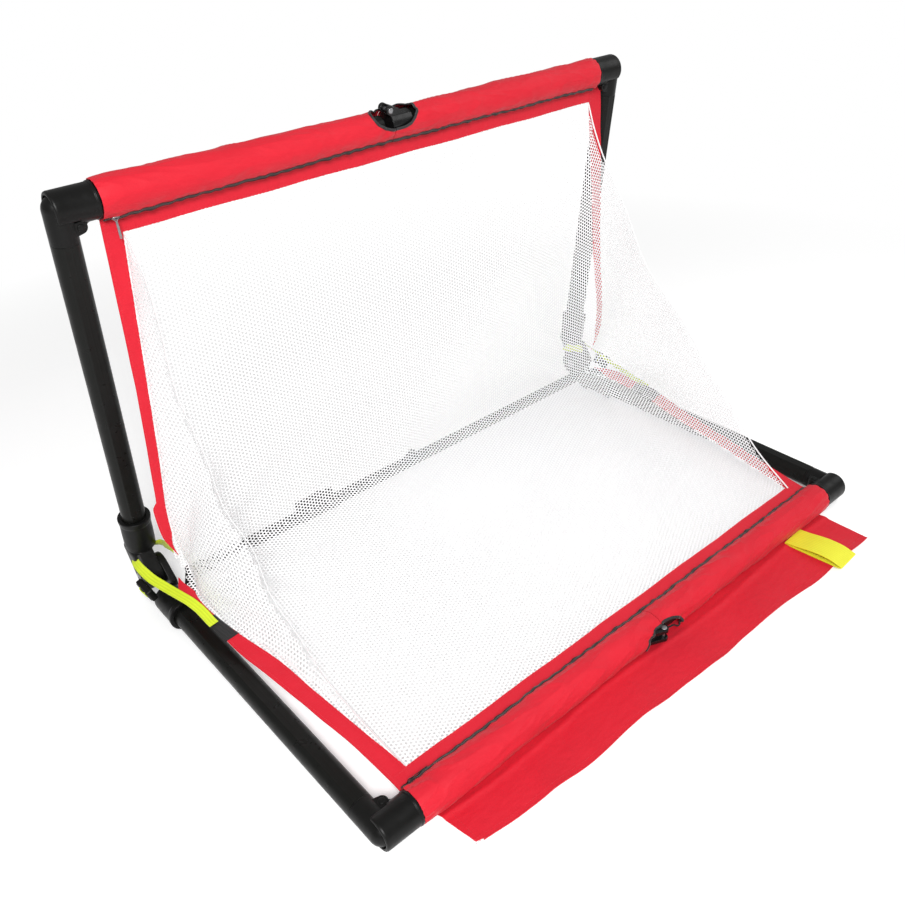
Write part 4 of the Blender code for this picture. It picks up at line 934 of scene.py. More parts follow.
def barrel():
    """The bar's moulded end: a hood over the arm's dome, a lug at the inner corner, a lip by the sleeve."""
    step = -BARREL_INBOARD + 0.0045
    lip = BARREL_RADIUS + 0.0011
    profile = [(0, BARREL_OUTBOARD), (BARREL_RADIUS - 0.003, BARREL_OUTBOARD),
               (BARREL_RADIUS - 0.0008, BARREL_OUTBOARD - 0.0010), (BARREL_RADIUS, BARREL_OUTBOARD - 0.0035),
               (BARREL_RADIUS, step + 0.0008), (lip, step - 0.0002), (lip, -BARREL_INBOARD + 0.0012),
               (lip - 0.0010, -BARREL_INBOARD), (0, -BARREL_INBOARD)]
    body = turned(profile, "X", (ARM_X, -ARM_LENGTH, 0), 88)
    gusset = plate([(PIVOT_X - 0.0092, PIVOT_Y + 0.0034), (PIVOT_X - 0.0104, PIVOT_Y - 0.0010),
                    (PIVOT_X - 0.0134, PIVOT_Y - 0.0034), (PIVOT_X - 0.0190, PIVOT_Y - 0.0046),
                    (PIVOT_X - 0.0290, -ARM_LENGTH + 0.0222), (PIVOT_X - 0.020, -ARM_LENGTH + 0.010),
                    (PIVOT_X - 0.0010, -ARM_LENGTH + 0.010), (PIVOT_X - 0.0010, PIVOT_Y + 0.0060)],
                   0.0125, around=False)
    body = fuse(body, gusset)
    room = ARM_RADIUS + 0.0006
    wide = room + 0.0009
    way_in = block((ARM_X - wide, -ARM_LENGTH + 0.001, -wide), (ARM_X + 0.05, -ARM_LENGTH + 0.06, wide))
    quarter = [(room * math.cos(a), -room * math.sin(a)) for a in [math.pi / 2 * k / 12 for k in range(12)]]
    hood = turned([(0, BARREL_OUTBOARD + 0.01), (room, BARREL_OUTBOARD + 0.01)] + quarter + [(0, -room)],
                  "X", (ARM_X, -ARM_LENGTH, 0), 72)
    bore = rod(BAR_RADIUS + CLEARANCE, -BARREL_INBOARD - 0.01, -PLUG_DEPTH, "X", (ARM_X, -ARM_LENGTH, 0))
    relief = [rod(LUG_RADIUS + RUNNING, LUG_HALF, EAR_HALF + 0.003, "Z", (PIVOT_X, PIVOT_Y, 0), 40),
              rod(LUG_RADIUS + RUNNING, -EAR_HALF - 0.003, -LUG_HALF, "Z", (PIVOT_X, PIVOT_Y, 0), 40)]
    hole = rod(SMALL_PIN_RADIUS + CLEARANCE, -0.03, 0.03, "Z", (PIVOT_X, PIVOT_Y, 0), 24)
    body = cut(body, hood, way_in, bore)
    lug = plate(disc_points((PIVOT_X, PIVOT_Y), LUG_RADIUS), LUG_HALF - 0.0001)
    body = cut(fuse(body, lug), *relief, hole, ground_flat())
    for angle in (80, 205):
        way = Vector((0, math.cos(math.radians(angle)), math.sin(math.radians(angle))))
        mark = turned([(0, 0.003), (0.0036, 0.003), (0.0036, -0.0006), (0.0026, -0.0006), (0.0022, -0.0002),
                       (0, -0.0002)], "Z", (0, 0, 0), 32)
        place = Vector((ARM_X - 0.0415, -ARM_LENGTH, 0)) + way * BARREL_RADIUS
        mark.transform(Matrix.Translation(place) @ way.to_track_quat("Z", "X").to_matrix().to_4x4())
        body = cut(body, mark)
    return softened(body, 0.00065, 2, 0.22)


def small_pin(centre, seat, shank=SMALL_PIN_RADIUS, head=SMALL_HEAD_RADIUS):
    crown = seat + CLEARANCE + SMALL_HEAD_HEIGHT
    half = [(0, crown - 0.0002), (head * 0.35, crown), (head * 0.7, crown - 0.0002),
            (head * 0.93, crown - 0.0006), (head, crown - 0.0011), (head, seat + CLEARANCE),
            (shank, seat + CLEARANCE)]
    return turned(both_ends(half), "Z", centre, 40)


# Middle knuckles of the bars
def mid_half(layers, relief, far):
    """A middle knuckle's half: collar, webs and discs in its layers, relief in the others."""
    body = turned([(0, MID_COLLAR_LENGTH), (MID_COLLAR_RADIUS - 0.001, MID_COLLAR_LENGTH),
                   (MID_COLLAR_RADIUS, MID_COLLAR_LENGTH - 0.001),
                   (MID_COLLAR_RADIUS, CLEARANCE), (0, CLEARANCE)], "X", (0, -ARM_LENGTH, 0), 72)
    parts = []
    for low, high in layers:
        disc = [point for point in disc_points((0, MID_Y), MID_DISC_RADIUS - 0.0005, 48) if point[0] >= 0.001]
        outline = disc + [(0.001, MID_Y - MID_DISC_RADIUS + 0.0004), (0.001, -ARM_LENGTH - 0.001),
                          (far, -ARM_LENGTH - 0.001), (far, -ARM_LENGTH - MID_COLLAR_RADIUS + 0.003)]
        parts.append(plate(outline, (high - low) / 2, Matrix.Translation((0, 0, (high + low) / 2))))
        parts.append(rod(MID_DISC_RADIUS, low, high, "Z", (0, MID_Y, 0), 40))
    body = fuse(body, *parts)
    grooves = [rod(MID_DISC_RADIUS + RUNNING, low - SHAVE, high + SHAVE, "Z", (0, MID_Y, 0), 40)
               for low, high in relief]
    bore = rod(BAR_RADIUS + CLEARANCE, MID_COLLAR_LENGTH - PLUG_DEPTH - 0.003, MID_COLLAR_LENGTH + 0.01,
               "X", (0, -ARM_LENGTH, 0))
    hole = rod(MID_PIN_RADIUS + CLEARANCE, -0.03, 0.03, "Z", (0, MID_Y, 0), 24)
    return softened(cut(body, *grooves, bore, hole), 0.0007, 4, 0.30)


def mid_tongue(far=0.020):
    inner, outer = MID_TONGUE_HALF, MID_COLLAR_RADIUS + 0.001
    return mid_half([(-inner, inner)], [(inner, outer), (-outer, -inner)], far)


def mid_fork(far=0.038):
    inner = MID_TONGUE_HALF + RUNNING
    return mid_half([(inner, MID_EAR_HALF), (-MID_EAR_HALF, -inner)], [(-inner, inner)], far)


# The slim rear bar
def rear_half(layers, relief):
    centre = (0, -REAR_FORWARD, REAR_RISE)
    body = rod(REAR_RADIUS, CLEARANCE, ARM_X - 0.052, "X", centre, 56, 0.0006)
    parts = []
    for low, high in layers:
        outline = [(0.001, REAR_MID_Y + 0.0010), (0.0068, REAR_MID_Y + 0.0010), (0.001, -REAR_FORWARD),
                   (0.020, -REAR_FORWARD), (0.020, -REAR_FORWARD + REAR_RADIUS - 0.002)]
        middle = Matrix.Translation((0, 0, REAR_RISE + (high + low) / 2))
        parts.append(plate(outline, (high - low) / 2, middle))
        parts.append(rod(REAR_DISC_RADIUS, REAR_RISE + low, REAR_RISE + high, "Z", (0, REAR_MID_Y, 0), 32))
    body = fuse(body, *parts)
    bore = rod(REAR_RADIUS - REAR_WALL, 0.024, ARM_X, "X", centre, 56)
    grooves = [rod(REAR_DISC_RADIUS + RUNNING, REAR_RISE + low - SHAVE, REAR_RISE + high + SHAVE, "Z",
                   (0, REAR_MID_Y, 0), 32) for low, high in relief]
    hole = rod(REAR_PIN_RADIUS + CLEARANCE, REAR_RISE - 0.02, REAR_RISE + 0.02, "Z", (0, REAR_MID_Y, 0), 24)
    return cut(body, bore, *grooves, hole)


def rear_lug():
    elbow = (ARM_X - 0.046, -REAR_FORWARD)
    outline = disc_points((PIVOT_X, REAR_PIVOT_Y), 0.0088) + disc_points(elbow, 0.0105)
    arm = plate(outline, REAR_LUG_HALF, Matrix.Translation((0, 0, REAR_LUG_RISE)))
    socket = rod(REAR_SOCKET_RADIUS, -0.078, -0.041, "X", (ARM_X, -REAR_FORWARD, REAR_RISE), 48, 0.001)
    bore = rod(REAR_RADIUS + CLEARANCE, -0.09, -0.0515, "X", (ARM_X, -REAR_FORWARD, REAR_RISE))
    hole = rod(SMALL_PIN_RADIUS + CLEARANCE, 0.0, 0.06, "Z", (PIVOT_X, REAR_PIVOT_Y, 0), 24)
    return softened(cut(fuse(socket, arm), bore, hole), 0.0006, 3, 0.3)


def rear_pin():
    top = REAR_LUG_RISE + REAR_LUG_HALF + CLEARANCE
    foot = REAR_LUG_RISE - REAR_LUG_HALF - CLEARANCE - 0.0085
    return turned([(0, top + 0.0016), (0.003, top + 0.0016), (0.0050, top + 0.0012),
                   (SMALL_HEAD_RADIUS, top + 0.0006),
                   (SMALL_HEAD_RADIUS, top), (SMALL_PIN_RADIUS, top), (SMALL_PIN_RADIUS, foot), (0, foot)],
                  "Z", (PIVOT_X, REAR_PIVOT_Y, 0), 40)


def rear_mid_pin():
    seat = REAR_EAR_HALF + CLEARANCE
    half = [(0, seat + 0.001), (0.0036, seat + 0.001), (0.0042, seat + 0.0005), (0.0042, seat),
            (REAR_PIN_RADIUS, seat)]
    return turned(both_ends(half), "Z", (0, REAR_MID_Y, REAR_RISE), 32)


def build_frame():
    """Both sides and both bars: each shape is made once and set at its places."""
    lower, upper, eye, hood = knuckle_lower(), knuckle_upper(), corner_eye(), barrel()
    tongue, fork, lug = mid_tongue(), mid_fork(), rear_lug()
    tube, pin = arm_tube(), knuckle_pin()
    corner = small_pin((PIVOT_X, PIVOT_Y, 0), EAR_HALF, head=0.0054)
    middle = small_pin((0, MID_Y, 0), MID_EAR_HALF, MID_PIN_RADIUS, MID_HEAD_RADIUS)
    inner, gap = REAR_TONGUE_HALF, REAR_TONGUE_HALF + RUNNING
    rear_tongue = rear_half([(-inner, inner)], [(inner, 0.0145), (-0.0145, -inner)])
    rear_fork = rear_half([(gap, REAR_EAR_HALF), (-REAR_EAR_HALF, -gap)], [(-gap, gap)])

    def both(shape, name, body, material, matrix, smooth=40, world_flip=False):
        """The right-hand shape on one side and its mirror image on the other."""
        for side, mesh in (("right", shape.copy()), ("left", mirrored(shape))):
            if world_flip:
                side = "left" if side == "right" else "right"
            piece(f"{name}_{side}_moulding", mesh, body.format(side=side), material, matrix, smooth,
                  replaces=(f"{name}_{side}",))

    both(lower, "knuckle_lower", "{side}_lower", MOULDED, LOWER, 0)
    both(upper, "knuckle_upper", "{side}_upper", MOULDED, UPPER, 0, True)
    both(eye, "corner_eye_lower", "{side}_lower", MOULDED, LOWER, 0)
    both(eye, "corner_eye_upper", "{side}_upper", MOULDED, UPPER, 0, True)
    both(hood, "ground_barrel", "ground_{side}", MOULDED, LOWER, 0)
    both(hood, "crossbar_barrel", "crossbar_{side}", MOULDED, UPPER, 0, True)
    both(tube, "arm_lower", "{side}_lower", ARM_LOWER_BLACK, LOWER)
    both(tube, "arm_upper", "{side}_upper", ARM_UPPER_BLACK, UPPER, 40, True)
    both(pin, "knuckle_pin", "{side}_lower", STEEL, LOWER)
    both(corner, "corner_pin_lower", "{side}_lower", MOULDED, LOWER)
    both(corner, "corner_pin_upper", "{side}_upper", MOULDED, UPPER, 40, True)
    both(lug, "rear_lug", "rear_{side}", MOULDED, LOWER, 0)
    both(rear_pin(), "rear_pin", "{side}_lower", STEEL, LOWER)
    return tongue, fork, middle, rear_tongue, rear_fork


BODY = {node: body for body, nodes in frame["record"]["behaviour"]["bodies"].items() for node in nodes}
UP_TO_LOWER = LOWER.inverted() @ UPPER

# Sleeves: half widths of the cloth tube along each bar, by the goal's own x
CROSSBAR_GIRTH = along([(-0.524, 0.0296), (-0.495, 0.0308), (-0.40, 0.0296), (-0.30, 0.0285), (-0.20, 0.0281),
                        (-0.10, 0.0268), (0.0, 0.0267), (0.10, 0.0273), (0.20, 0.0268), (0.30, 0.0281),
                        (0.45, 0.0277), (0.524, 0.0288)])
GROUND_GIRTH = along([(-0.524, 0.0284), (-0.45, 0.0276), (-0.30, 0.0270), (-0.15, 0.0274), (0.0, 0.0267),
                      (0.15, 0.0270), (0.30, 0.0272), (0.45, 0.0276), (0.524, 0.0284)])
WINDOWS = {"ground": (0.007, math.radians(203), 0.047, math.radians(61)),
           "crossbar": (0.007, math.radians(154.5), 0.047, math.radians(64.5))}


def zip_angle(bar, x):
    """The zip wanders a little along its run, and turns under at its left end."""
    seed = 3.1 if bar == "ground" else 8.7
    wander = 1.1 * math.sin(x * 17 + seed) + 0.6 * math.sin(x * 47 + 2 * seed) + 3.0
    wander += 0.8 * noise.noise(Vector((x * 40, seed, 0)))
    wander *= min(1.0, (0.5 - abs(x)) / 0.10) if abs(x) < 0.5 else 0.0
    if x < -0.495:
        wander -= 7.0 * math.sin(math.pi * min(1.0, (-0.495 - x) / 0.028))
    return ZIP_ANGLE + math.radians(wander)


def turn_between(angle, centre):
    """From centre to angle, between minus pi and pi."""
    return (angle - centre + math.pi) % (2 * math.pi) - math.pi


def window_share(bar, x, angle):
    """Below 1 inside the window over the middle knuckle, 1 on its rim."""
    middle, centre, long, span = WINDOWS[bar]
    turn = turn_between(angle, centre)
    return math.hypot((x - middle) / long, turn / span), math.atan2(turn / span, (x - middle) / long)


def sleeve_radius(bar, x, angle):
    """The cloth tube's radius: its girth with gathers at the ends, at the zip and round the window."""
    base = (GROUND_GIRTH if bar == "ground" else CROSSBAR_GIRTH)(x)
    seed = 4.0 if bar == "ground" else 11.0
    c, s = math.cos(angle), math.sin(angle)
    strength = 1.25 if bar == "ground" else 0.9
    broad = 0.0013 * noise.noise(Vector((x * 8, c * 0.9 + seed, s * 0.9)))
    slack = 0.0011 * noise.noise(Vector((x * 24 + 0.8 * c, c * 1.2, s * 1.2 + seed)))
    ridge = 1 - abs(noise.noise(Vector((x * 19 - 1.5 * s, c * 1.6 + seed, s * 1.6)))) * 2.4
    crease = 0.0013 * max(0.0, ridge) ** 3
    near_zip = abs(turn_between(angle, zip_angle(bar, x)))
    phase = 2 * math.pi * x / 0.024 + 4 * noise.noise(Vector((x * 20, seed, 1)))
    pucker = 0.0007 * math.exp(-(near_zip / 0.45) ** 2) * math.sin(phase)
    share, around = window_share(bar, x, angle)
    reach = max(0.0, share - 1)
    spread = 0.0017 * math.exp(-reach / 0.55) * math.sin(9 * around + seed + 1.5 * math.sin(3 * around))
    end = math.exp(-(0.5235 - abs(x)) / 0.016)
    gather = 0.0007 * end * math.sin(13 * angle + 2 * seed + 2 * math.sin(2 * angle))
    gather -= 0.0009 * math.exp(-(0.5235 - abs(x)) / 0.004)
    radius = base + strength * (broad + slack + crease + spread) + pucker + gather
    least = 0.0246 if abs(x) < 0.05 else 0.0222
    return max(radius, least)


def sleeve_point(bar, x, angle, lift=0.0):
    """A place on the sleeve by the goal's own x, in the bar's own half of the V."""
    radius = sleeve_radius(bar, x, angle) + lift
    y, z = -ARM_LENGTH + radius * math.cos(angle), radius * math.sin(angle)
    if bar == "ground":
        z = max(z, -FLOOR_DROP + 0.0024 + lift)
        return Vector((x, y, z))
    return Vector((-x, y, z))


def bar_matrix(bar):
    return LOWER if bar == "ground" else UPPER


def sleeve_half(bar, side):
    """One half of the cloth tube, opened over the middle knuckle, with its bound rim."""
    sign = 1 if side == "right" else -1
    count, around = 190, 84
    places = np.linspace(0.0006, SLEEVE_END, count)
    angles = [2 * math.pi * k / around for k in range(around)]
    middle, centre, long, span = WINDOWS[bar]
    bm = bmesh.new()
    layer = bm.loops.layers.uv.new("UVMap")
    grid = [[bm.verts.new((sign * x, a, 0)) for a in angles] for x in places]
    spot = {}
    for j, row in enumerate(grid):
        for k, v in enumerate(row):
            spot[v] = (sign * places[j], angles[k])
    for j in range(count - 1):
        for k in range(around):
            following = (k + 1) % around
            quad = (grid[j][k], grid[j][following], grid[j + 1][following], grid[j + 1][k])
            share = window_share(bar, sign * (places[j] + places[j + 1]) / 2, angles[k] + math.pi / around)[0]
            if share > 1:
                face = bm.faces.new(quad)
                for loop in face.loops:
                    x, a = spot[loop.vert]
                    if following == 0 and a == 0:
                        a = 2 * math.pi
                    loop[layer].uv = (x, a * SLEEVE_RADIUS)
    for v in [v for v in bm.verts if not v.link_faces]:
        bm.verts.remove(v)
        spot.pop(v, None)
    for v in bm.verts:
        x, a = spot[v]
        share = window_share(bar, x, a)[0]
        open_edge = any(len(e.link_faces) == 1 for e in v.link_edges)
        if open_edge and share < 1.25 and abs(x) > 0.0008:
            turn = turn_between(a, centre)
            x, a = middle + (x - middle) / share, centre + turn / share
            if sign * x < 0.0006:
                x = sign * 0.0006
            spot[v] = (x, a)
        elif open_edge and share < 1.25:
            limit = math.sqrt(max(0.0, 1 - ((x - middle) / long) ** 2)) * span
            turn = turn_between(a, centre)
            if abs(turn) < limit + 0.12:
                spot[v] = (x, centre + math.copysign(limit, turn))
    for v in bm.verts:
        x, a = spot[v]
        v.co = sleeve_point(bar, x, a)
    bmesh.ops.recalc_face_normals(bm, faces=bm.faces)
    test = max(bm.faces, key=lambda f: f.calc_center_median().z)
    if test.normal.z < 0:
        bmesh.ops.reverse_faces(bm, faces=bm.faces)
    mesh = modified(mesh_of(bm), ("SOLIDIFY", {"thickness": CLOTH, "offset": -1}))
    mesh.materials.append(RED)
    rim = window_rim(bar, sign)
    rim.materials.clear()
    rim.materials.append(BLACK_WEB)
    return mesh, rim


def window_rim(bar, sign):
    """The bound edge of the window, as far as this half of the bar."""
    middle, centre, long, span = WINDOWS[bar]
    spots = []
    for k in range(240):
        way = 2 * math.pi * k / 240
        x = middle + long * math.cos(way)
        spots.append((sign * x > 0.0004, x, centre + span * math.sin(way)))
    start = next((k for k in range(240) if spots[k][0] and not spots[k - 1][0]), 0)
    run = [spots[(start + k) % 240] for k in range(240) if spots[(start + k) % 240][0]]
    path = [sleeve_point(bar, x, a, 0.0002) for _, x, a in run]
    ups = [Vector((0, math.cos(a), math.sin(a))) for _, x, a in run]
    return tube_along(path, ups, 0.0026, 0.0013, 8)


def tube_along(path, ups, wide, high, sides=8, ends=True):
    """A soft rounded bead along a path, wide across the cloth and high above it."""
    bm = bmesh.new()
    layer = bm.loops.layers.uv.new("UVMap")
    rings, run = [], 0.0
    lengths = []
    for k, (p, up) in enumerate(zip(path, ups)):
        before, after = path[max(k - 1, 0)], path[min(k + 1, len(path) - 1)]
        tangent = (Vector(after) - Vector(before)).normalized()
        across = tangent.cross(up).normalized()
        up = across.cross(tangent).normalized()
        if k:
            run += (Vector(p) - Vector(path[k - 1])).length
        lengths.append(run)
        rings.append([bm.verts.new(Vector(p) + across * wide * math.cos(2 * math.pi * j / sides)
                                   + up * high * math.sin(2 * math.pi * j / sides)) for j in range(sides)])
    for k in range(len(rings) - 1):
        for j in range(sides):
            following = (j + 1) % sides
            face = bm.faces.new((rings[k][j], rings[k][following], rings[k + 1][following], rings[k + 1][j]))
            for loop, (a, b) in zip(face.loops, ((k, j), (k, j + 1), (k + 1, j + 1), (k + 1, j))):
                loop[layer].uv = (lengths[a], b * 2 * (wide + high) / sides)
    if ends:
        bm.faces.new(rings[0])
        bm.faces.new(rings[-1])
    bmesh.ops.recalc_face_normals(bm, faces=bm.faces)
    return mesh_of(bm)


def zip_run(bar, side):
    """The zip's tape, wavy like the cloth under it, its row of coils and two rows of stitches."""
    sign = 1 if side == "right" else -1
    last = SLEEVE_END - 0.002 if (side == "left") else SLEEVE_END - 0.010
    places = np.linspace(0.001, last, 210)
    half = 0.0052 / 0.0285
    grid, coil, seams = [], [], ([], [])
    for x in places:
        x = sign * x
        middle = zip_angle(bar, x)
        row = []
        for k, share in enumerate((-1.15, -0.8, -0.35, 0.0, 0.35, 0.8, 1.15)):
            lift = (0.0004, 0.0013, 0.0019, 0.0021, 0.0019, 0.0013, 0.0004)[k]
            row.append(sleeve_point(bar, x, middle + share * half, lift))
        grid.append(row)
        up = Vector((0, math.cos(middle), math.sin(middle)))
        coil.append((sleeve_point(bar, x, middle, 0.0026), up))
        for k, share in enumerate((-1.5, 1.5)):
            seams[k].append((sleeve_point(bar, x, middle + share * half, 0.0005), up))
    tape = sheet_mesh(grid, 0.0009, offset=0.0)
    tape.materials.append(ZIP_TAPE)
    chain = BARS.made(path_mesh([coil]), Pitch=0.0013, Length=0.00105, Width=0.0040, Height=0.0014,
                      Slant=0.16, Sides=6, Material=TEETH)
    sewn = stitches(seams, RED_THREAD, 0.0036, 0.0026, 0.0006, 0.0005)
    return joined(tape, chain), sewn


def rounded_block(low, high, radius, segments=3):
    return modified(block(low, high), ("BEVEL", {"width": radius, "segments": segments}))


def on_zip(mesh, x):
    """Sets a shape drawn as (along the bar, along the zip's width, height) on the zip's middle."""
    turn = Vector((math.cos(ZIP_ANGLE), math.sin(ZIP_ANGLE)))
    centre = Vector((-ARM_LENGTH, 0)) + turn * (SLEEVE_RADIUS + 0.0012)
    across = Vector((-turn.y, turn.x))
    mesh.transform(Matrix(((1, 0, 0, x), (0, across.x, turn.x, centre.x),
                           (0, across.y, turn.y, centre.y), (0, 0, 0, 1))))
    return tidied(mesh)


def slider(metal):
    """Slider body with its two lips and bridge, and a long thin pull with a hole."""
    base = 0.0011
    top = rounded_block((-0.0060, -0.0044, base + 0.0012), (0.0060, 0.0044, base + 0.0024), 0.0006)
    lips = [rounded_block((-0.0058, side * 0.0040 - 0.0007, base),
                          (0.0045, side * 0.0040 + 0.0007, base + 0.0022), 0.0004) for side in (-1, 1)]
    bridge = tube_along([Vector((0.0045 * math.cos(a), 0, base + 0.0020 + 0.0022 * math.sin(a)))
                         for a in np.linspace(0, math.pi, 15)], [Vector((0, 1, 0))] * 15, 0.0007, 0.0013, 10)
    body = joined(top, *lips, bridge)
    on_zip(body, SLEEVE_END - 0.018)
    turn = Vector((math.cos(ZIP_ANGLE), math.sin(ZIP_ANGLE)))
    root = Vector((-ARM_LENGTH, 0)) + turn * (SLEEVE_RADIUS + 0.0012 + base + 0.0036)
    eye = [(0.0030 * math.cos(a), 0.0030 * math.sin(a)) for a in np.linspace(0, 2 * math.pi, 25)[:-1]]
    ring = tube_along([Vector((x * 0.75, y, 0)) for x, y in eye + eye[:1]], [Vector((0, 0, 1))] * 25,
                      0.0006, 0.0006, 8, False)
    outline = hull([(-0.0013, 0.0025), (0.0013, 0.0025), (0.0017, 0.010), (0.0019, 0.024)]
                   + [(0.0019 * math.cos(a), 0.0265 + 0.0022 * math.sin(a))
                      for a in np.linspace(0, math.pi, 12)]
                   + [(-0.0019, 0.024), (-0.0017, 0.010)])
    tab = plate(outline, 0.0006)
    tab = cut(tab, rod(0.0009, -0.01, 0.01, "Z", (0, 0.0258, 0), 24))
    tab = modified(tab, ("BEVEL", {"width": 0.00022, "segments": 2}))
    pull = joined(ring, tab)
    if metal is TEETH:
        pull.transform(Matrix.Rotation(ZIP_ANGLE - math.pi / 2, 4, "X")
                       @ Matrix.Rotation(math.radians(90), 4, "Z"))
        pull.transform(Matrix.Translation((SLEEVE_END - 0.022, root.x, root.y)))
    else:
        pull.transform(Matrix.Translation((SLEEVE_END - 0.018, root.x, root.y))
                       @ Matrix.Rotation(math.radians(12), 4, "X"))
    whole = joined(body, pull)
    whole.materials.clear()
    whole.materials.append(metal)
    return whole


def build_bars(tongue, fork, middle, rear_tongue, rear_fork):
    for bar, first, second in (("ground", "right", "left"), ("crossbar", "left", "right")):
        matrix = bar_matrix(bar)
        for side in ("left", "right"):
            node = f"{bar}_sleeve_{side}"
            cloth, rim = sleeve_half(bar, side)
            sleeve = piece(f"{node}_cloth", cloth, BODY[node], None, matrix, 60, (node,))
            bound = piece(f"{node}_window_binding", rim, BODY[node], None, matrix, 60)
            node = f"{bar}_zip_{side}"
            run, sewn = zip_run(bar, side)
            piece(f"{node}_chain", run, BODY[node], None, matrix, 50, (node,))
            piece(f"{node}_seams", sewn, BODY[node], None, matrix, 0)
            frame["nodes"][f"{bar}_tube_{side}"].material_slots[0].material = ARM_LOWER_BLACK
        for side, shape in ((first, tongue), (second, mirrored(fork))):
            node = f"{bar}_knuckle_{side}"
            piece(f"{node}_moulding", shape.copy(), BODY[node], GLOSSY, matrix, 0, (node,))
        node = f"{bar}_knuckle_pin"
        piece(f"{node}_steel", middle.copy(), BODY[node], STEEL, matrix, 40, (node,))
        pull = slider(PULL_METAL if bar == "crossbar" else TEETH)
        if bar == "ground":
            pull = mirrored(pull)
        node = f"{bar}_zip_slider"
        piece(f"{node}_pull", pull, BODY[node], None, matrix, 40, (node,))
    for side, shape in (("right", rear_tongue), ("left", mirrored(rear_fork))):
        node = f"rear_bar_{side}"
        piece(f"{node}_tube", shape, BODY[node], ARM_LOWER_BLACK, LOWER, 40, (node,))
    piece("rear_bar_pin_steel", rear_mid_pin(), BODY["rear_bar_pin"], STEEL, LOWER, 40, ("rear_bar_pin",))


# The net: two main sheets that meet in the crease, and a side net in each corner
NET_OPENING = 0.60           # of each cell's width
BEHIND = 0.015               # the mesh runs on this far behind the borders


class Panel:
    """One main sheet: x is the goal's own, s runs from the crease to the bar."""

    def __init__(self, name, edge, mesh_end, left, right, outer_left, outer_right, sag):
        self.name = name
        self.bar = "ground" if name == "lower" else "crossbar"
        start = Vector((CREASE.y, CREASE.z))
        self.run = (edge - start).normalized()
        self.length = (edge - start).length
        self.inside = Vector((self.run.y, -self.run.x)) * (1 if name == "lower" else -1)
        self.end = mesh_end
        self.left, self.right = along(left), along(right)
        self.outer_left, self.outer_right = along(outer_left), along(outer_right)
        self.sag = sag

    def point(self, x, s, lift=0.0):
        if s < 0:
            return (NET_UPPER if self is NET_LOWER else NET_LOWER).point(x, -s, lift)
        share = min(s / self.length, 1.0)
        hang = math.sin(math.pi * share) * math.cos(math.pi * x / 1.12)
        seed = 5.0 if self.name == "lower" else 9.0
        drop = -self.sag * hang
        drop += 0.0035 * math.sin(math.pi * share) * noise.noise(Vector((x * 5, s * 5, seed)))
        for corner in (-0.55, 0.55):
            reach = math.hypot(x - corner, s + 0.03)
            way = math.atan2(s + 0.03, x - corner)
            near = 0.0028 * math.exp(-((reach - 0.18) / 0.16) ** 2)
            drop += near * math.sin(15 * way + seed) * min(1.0, share * 6)
        lift += drop * min(1.0, (1 - share) * 9)
        return Vector((x, CREASE.y + self.run.x * s + self.inside.x * lift,
                       CREASE.z + self.run.y * s + self.inside.y * lift))


upper_edge = UP_TO_LOWER @ Vector((0, -NET_TOP, NET_INSIDE))
NET_LOWER = Panel(
    "lower", Vector((-NET_TOP, NET_INSIDE)), 0.5605,
    [(-0.01, -0.5370), (0.0, -0.5400), (0.03, -0.5485), (0.07, -0.5590), (0.1575, -0.5515), (0.2743, -0.5265),
     (0.3517, -0.5183), (0.4559, -0.5048), (0.558, -0.4915), (0.6, -0.4880)],
    [(-0.01, 0.5075), (0.0, 0.5075), (0.03, 0.5200), (0.07, 0.5350), (0.1575, 0.5400), (0.2743, 0.5260),
     (0.3517, 0.5190), (0.4559, 0.5080), (0.5635, 0.4985), (0.6, 0.4960)],
    [(-0.01, -0.5560), (0.0, -0.5620), (0.0388, -0.5790), (0.09, -0.5770), (0.14, -0.5715), (0.219, -0.5662),
     (0.3071, -0.5529), (0.3965, -0.5411), (0.48, -0.5290), (0.559, -0.5235), (0.6, -0.5225)],
    [(-0.01, 0.5260), (0.0, 0.5360), (0.0388, 0.5640), (0.09, 0.5690), (0.14, 0.5690), (0.219, 0.5640),
     (0.3071, 0.5540), (0.3965, 0.5440), (0.48, 0.5350), (0.559, 0.5300), (0.6, 0.5280)], 0.0045)
NET_UPPER = Panel(
    "upper", Vector((upper_edge.y, upper_edge.z)), 0.6165,
    [(-0.01, -0.5370), (0.0, -0.5370), (0.04, -0.5450), (0.09, -0.5520), (0.1433, -0.5508), (0.1823, -0.5461),
     (0.257, -0.5355), (0.45, -0.5140), (0.6184, -0.4954), (0.66, -0.4910)],
    [(-0.01, 0.5075), (0.0, 0.5075), (0.04, 0.5230), (0.09, 0.5400), (0.1433, 0.5470), (0.1823, 0.5460),
     (0.257, 0.5400), (0.45, 0.5290), (0.6157, 0.5182), (0.66, 0.5160)],
    [(0.02, -0.5440), (0.049, -0.5520), (0.0750, -0.5625), (0.1000, -0.5690), (0.1508, -0.5712),
     (0.1620, -0.5670), (0.1699, -0.5625), (0.257, -0.5530), (0.3539, -0.5430), (0.50, -0.5330),
     (0.6336, -0.5247), (0.66, -0.5230)],
    [(0.02, 0.5200), (0.049, 0.5320), (0.1000, 0.5620), (0.1508, 0.5690), (0.1620, 0.5675), (0.1699, 0.5650),
     (0.257, 0.5610), (0.3539, 0.5580), (0.50, 0.5555), (0.6232, 0.5534), (0.66, 0.5530)], 0.0030)


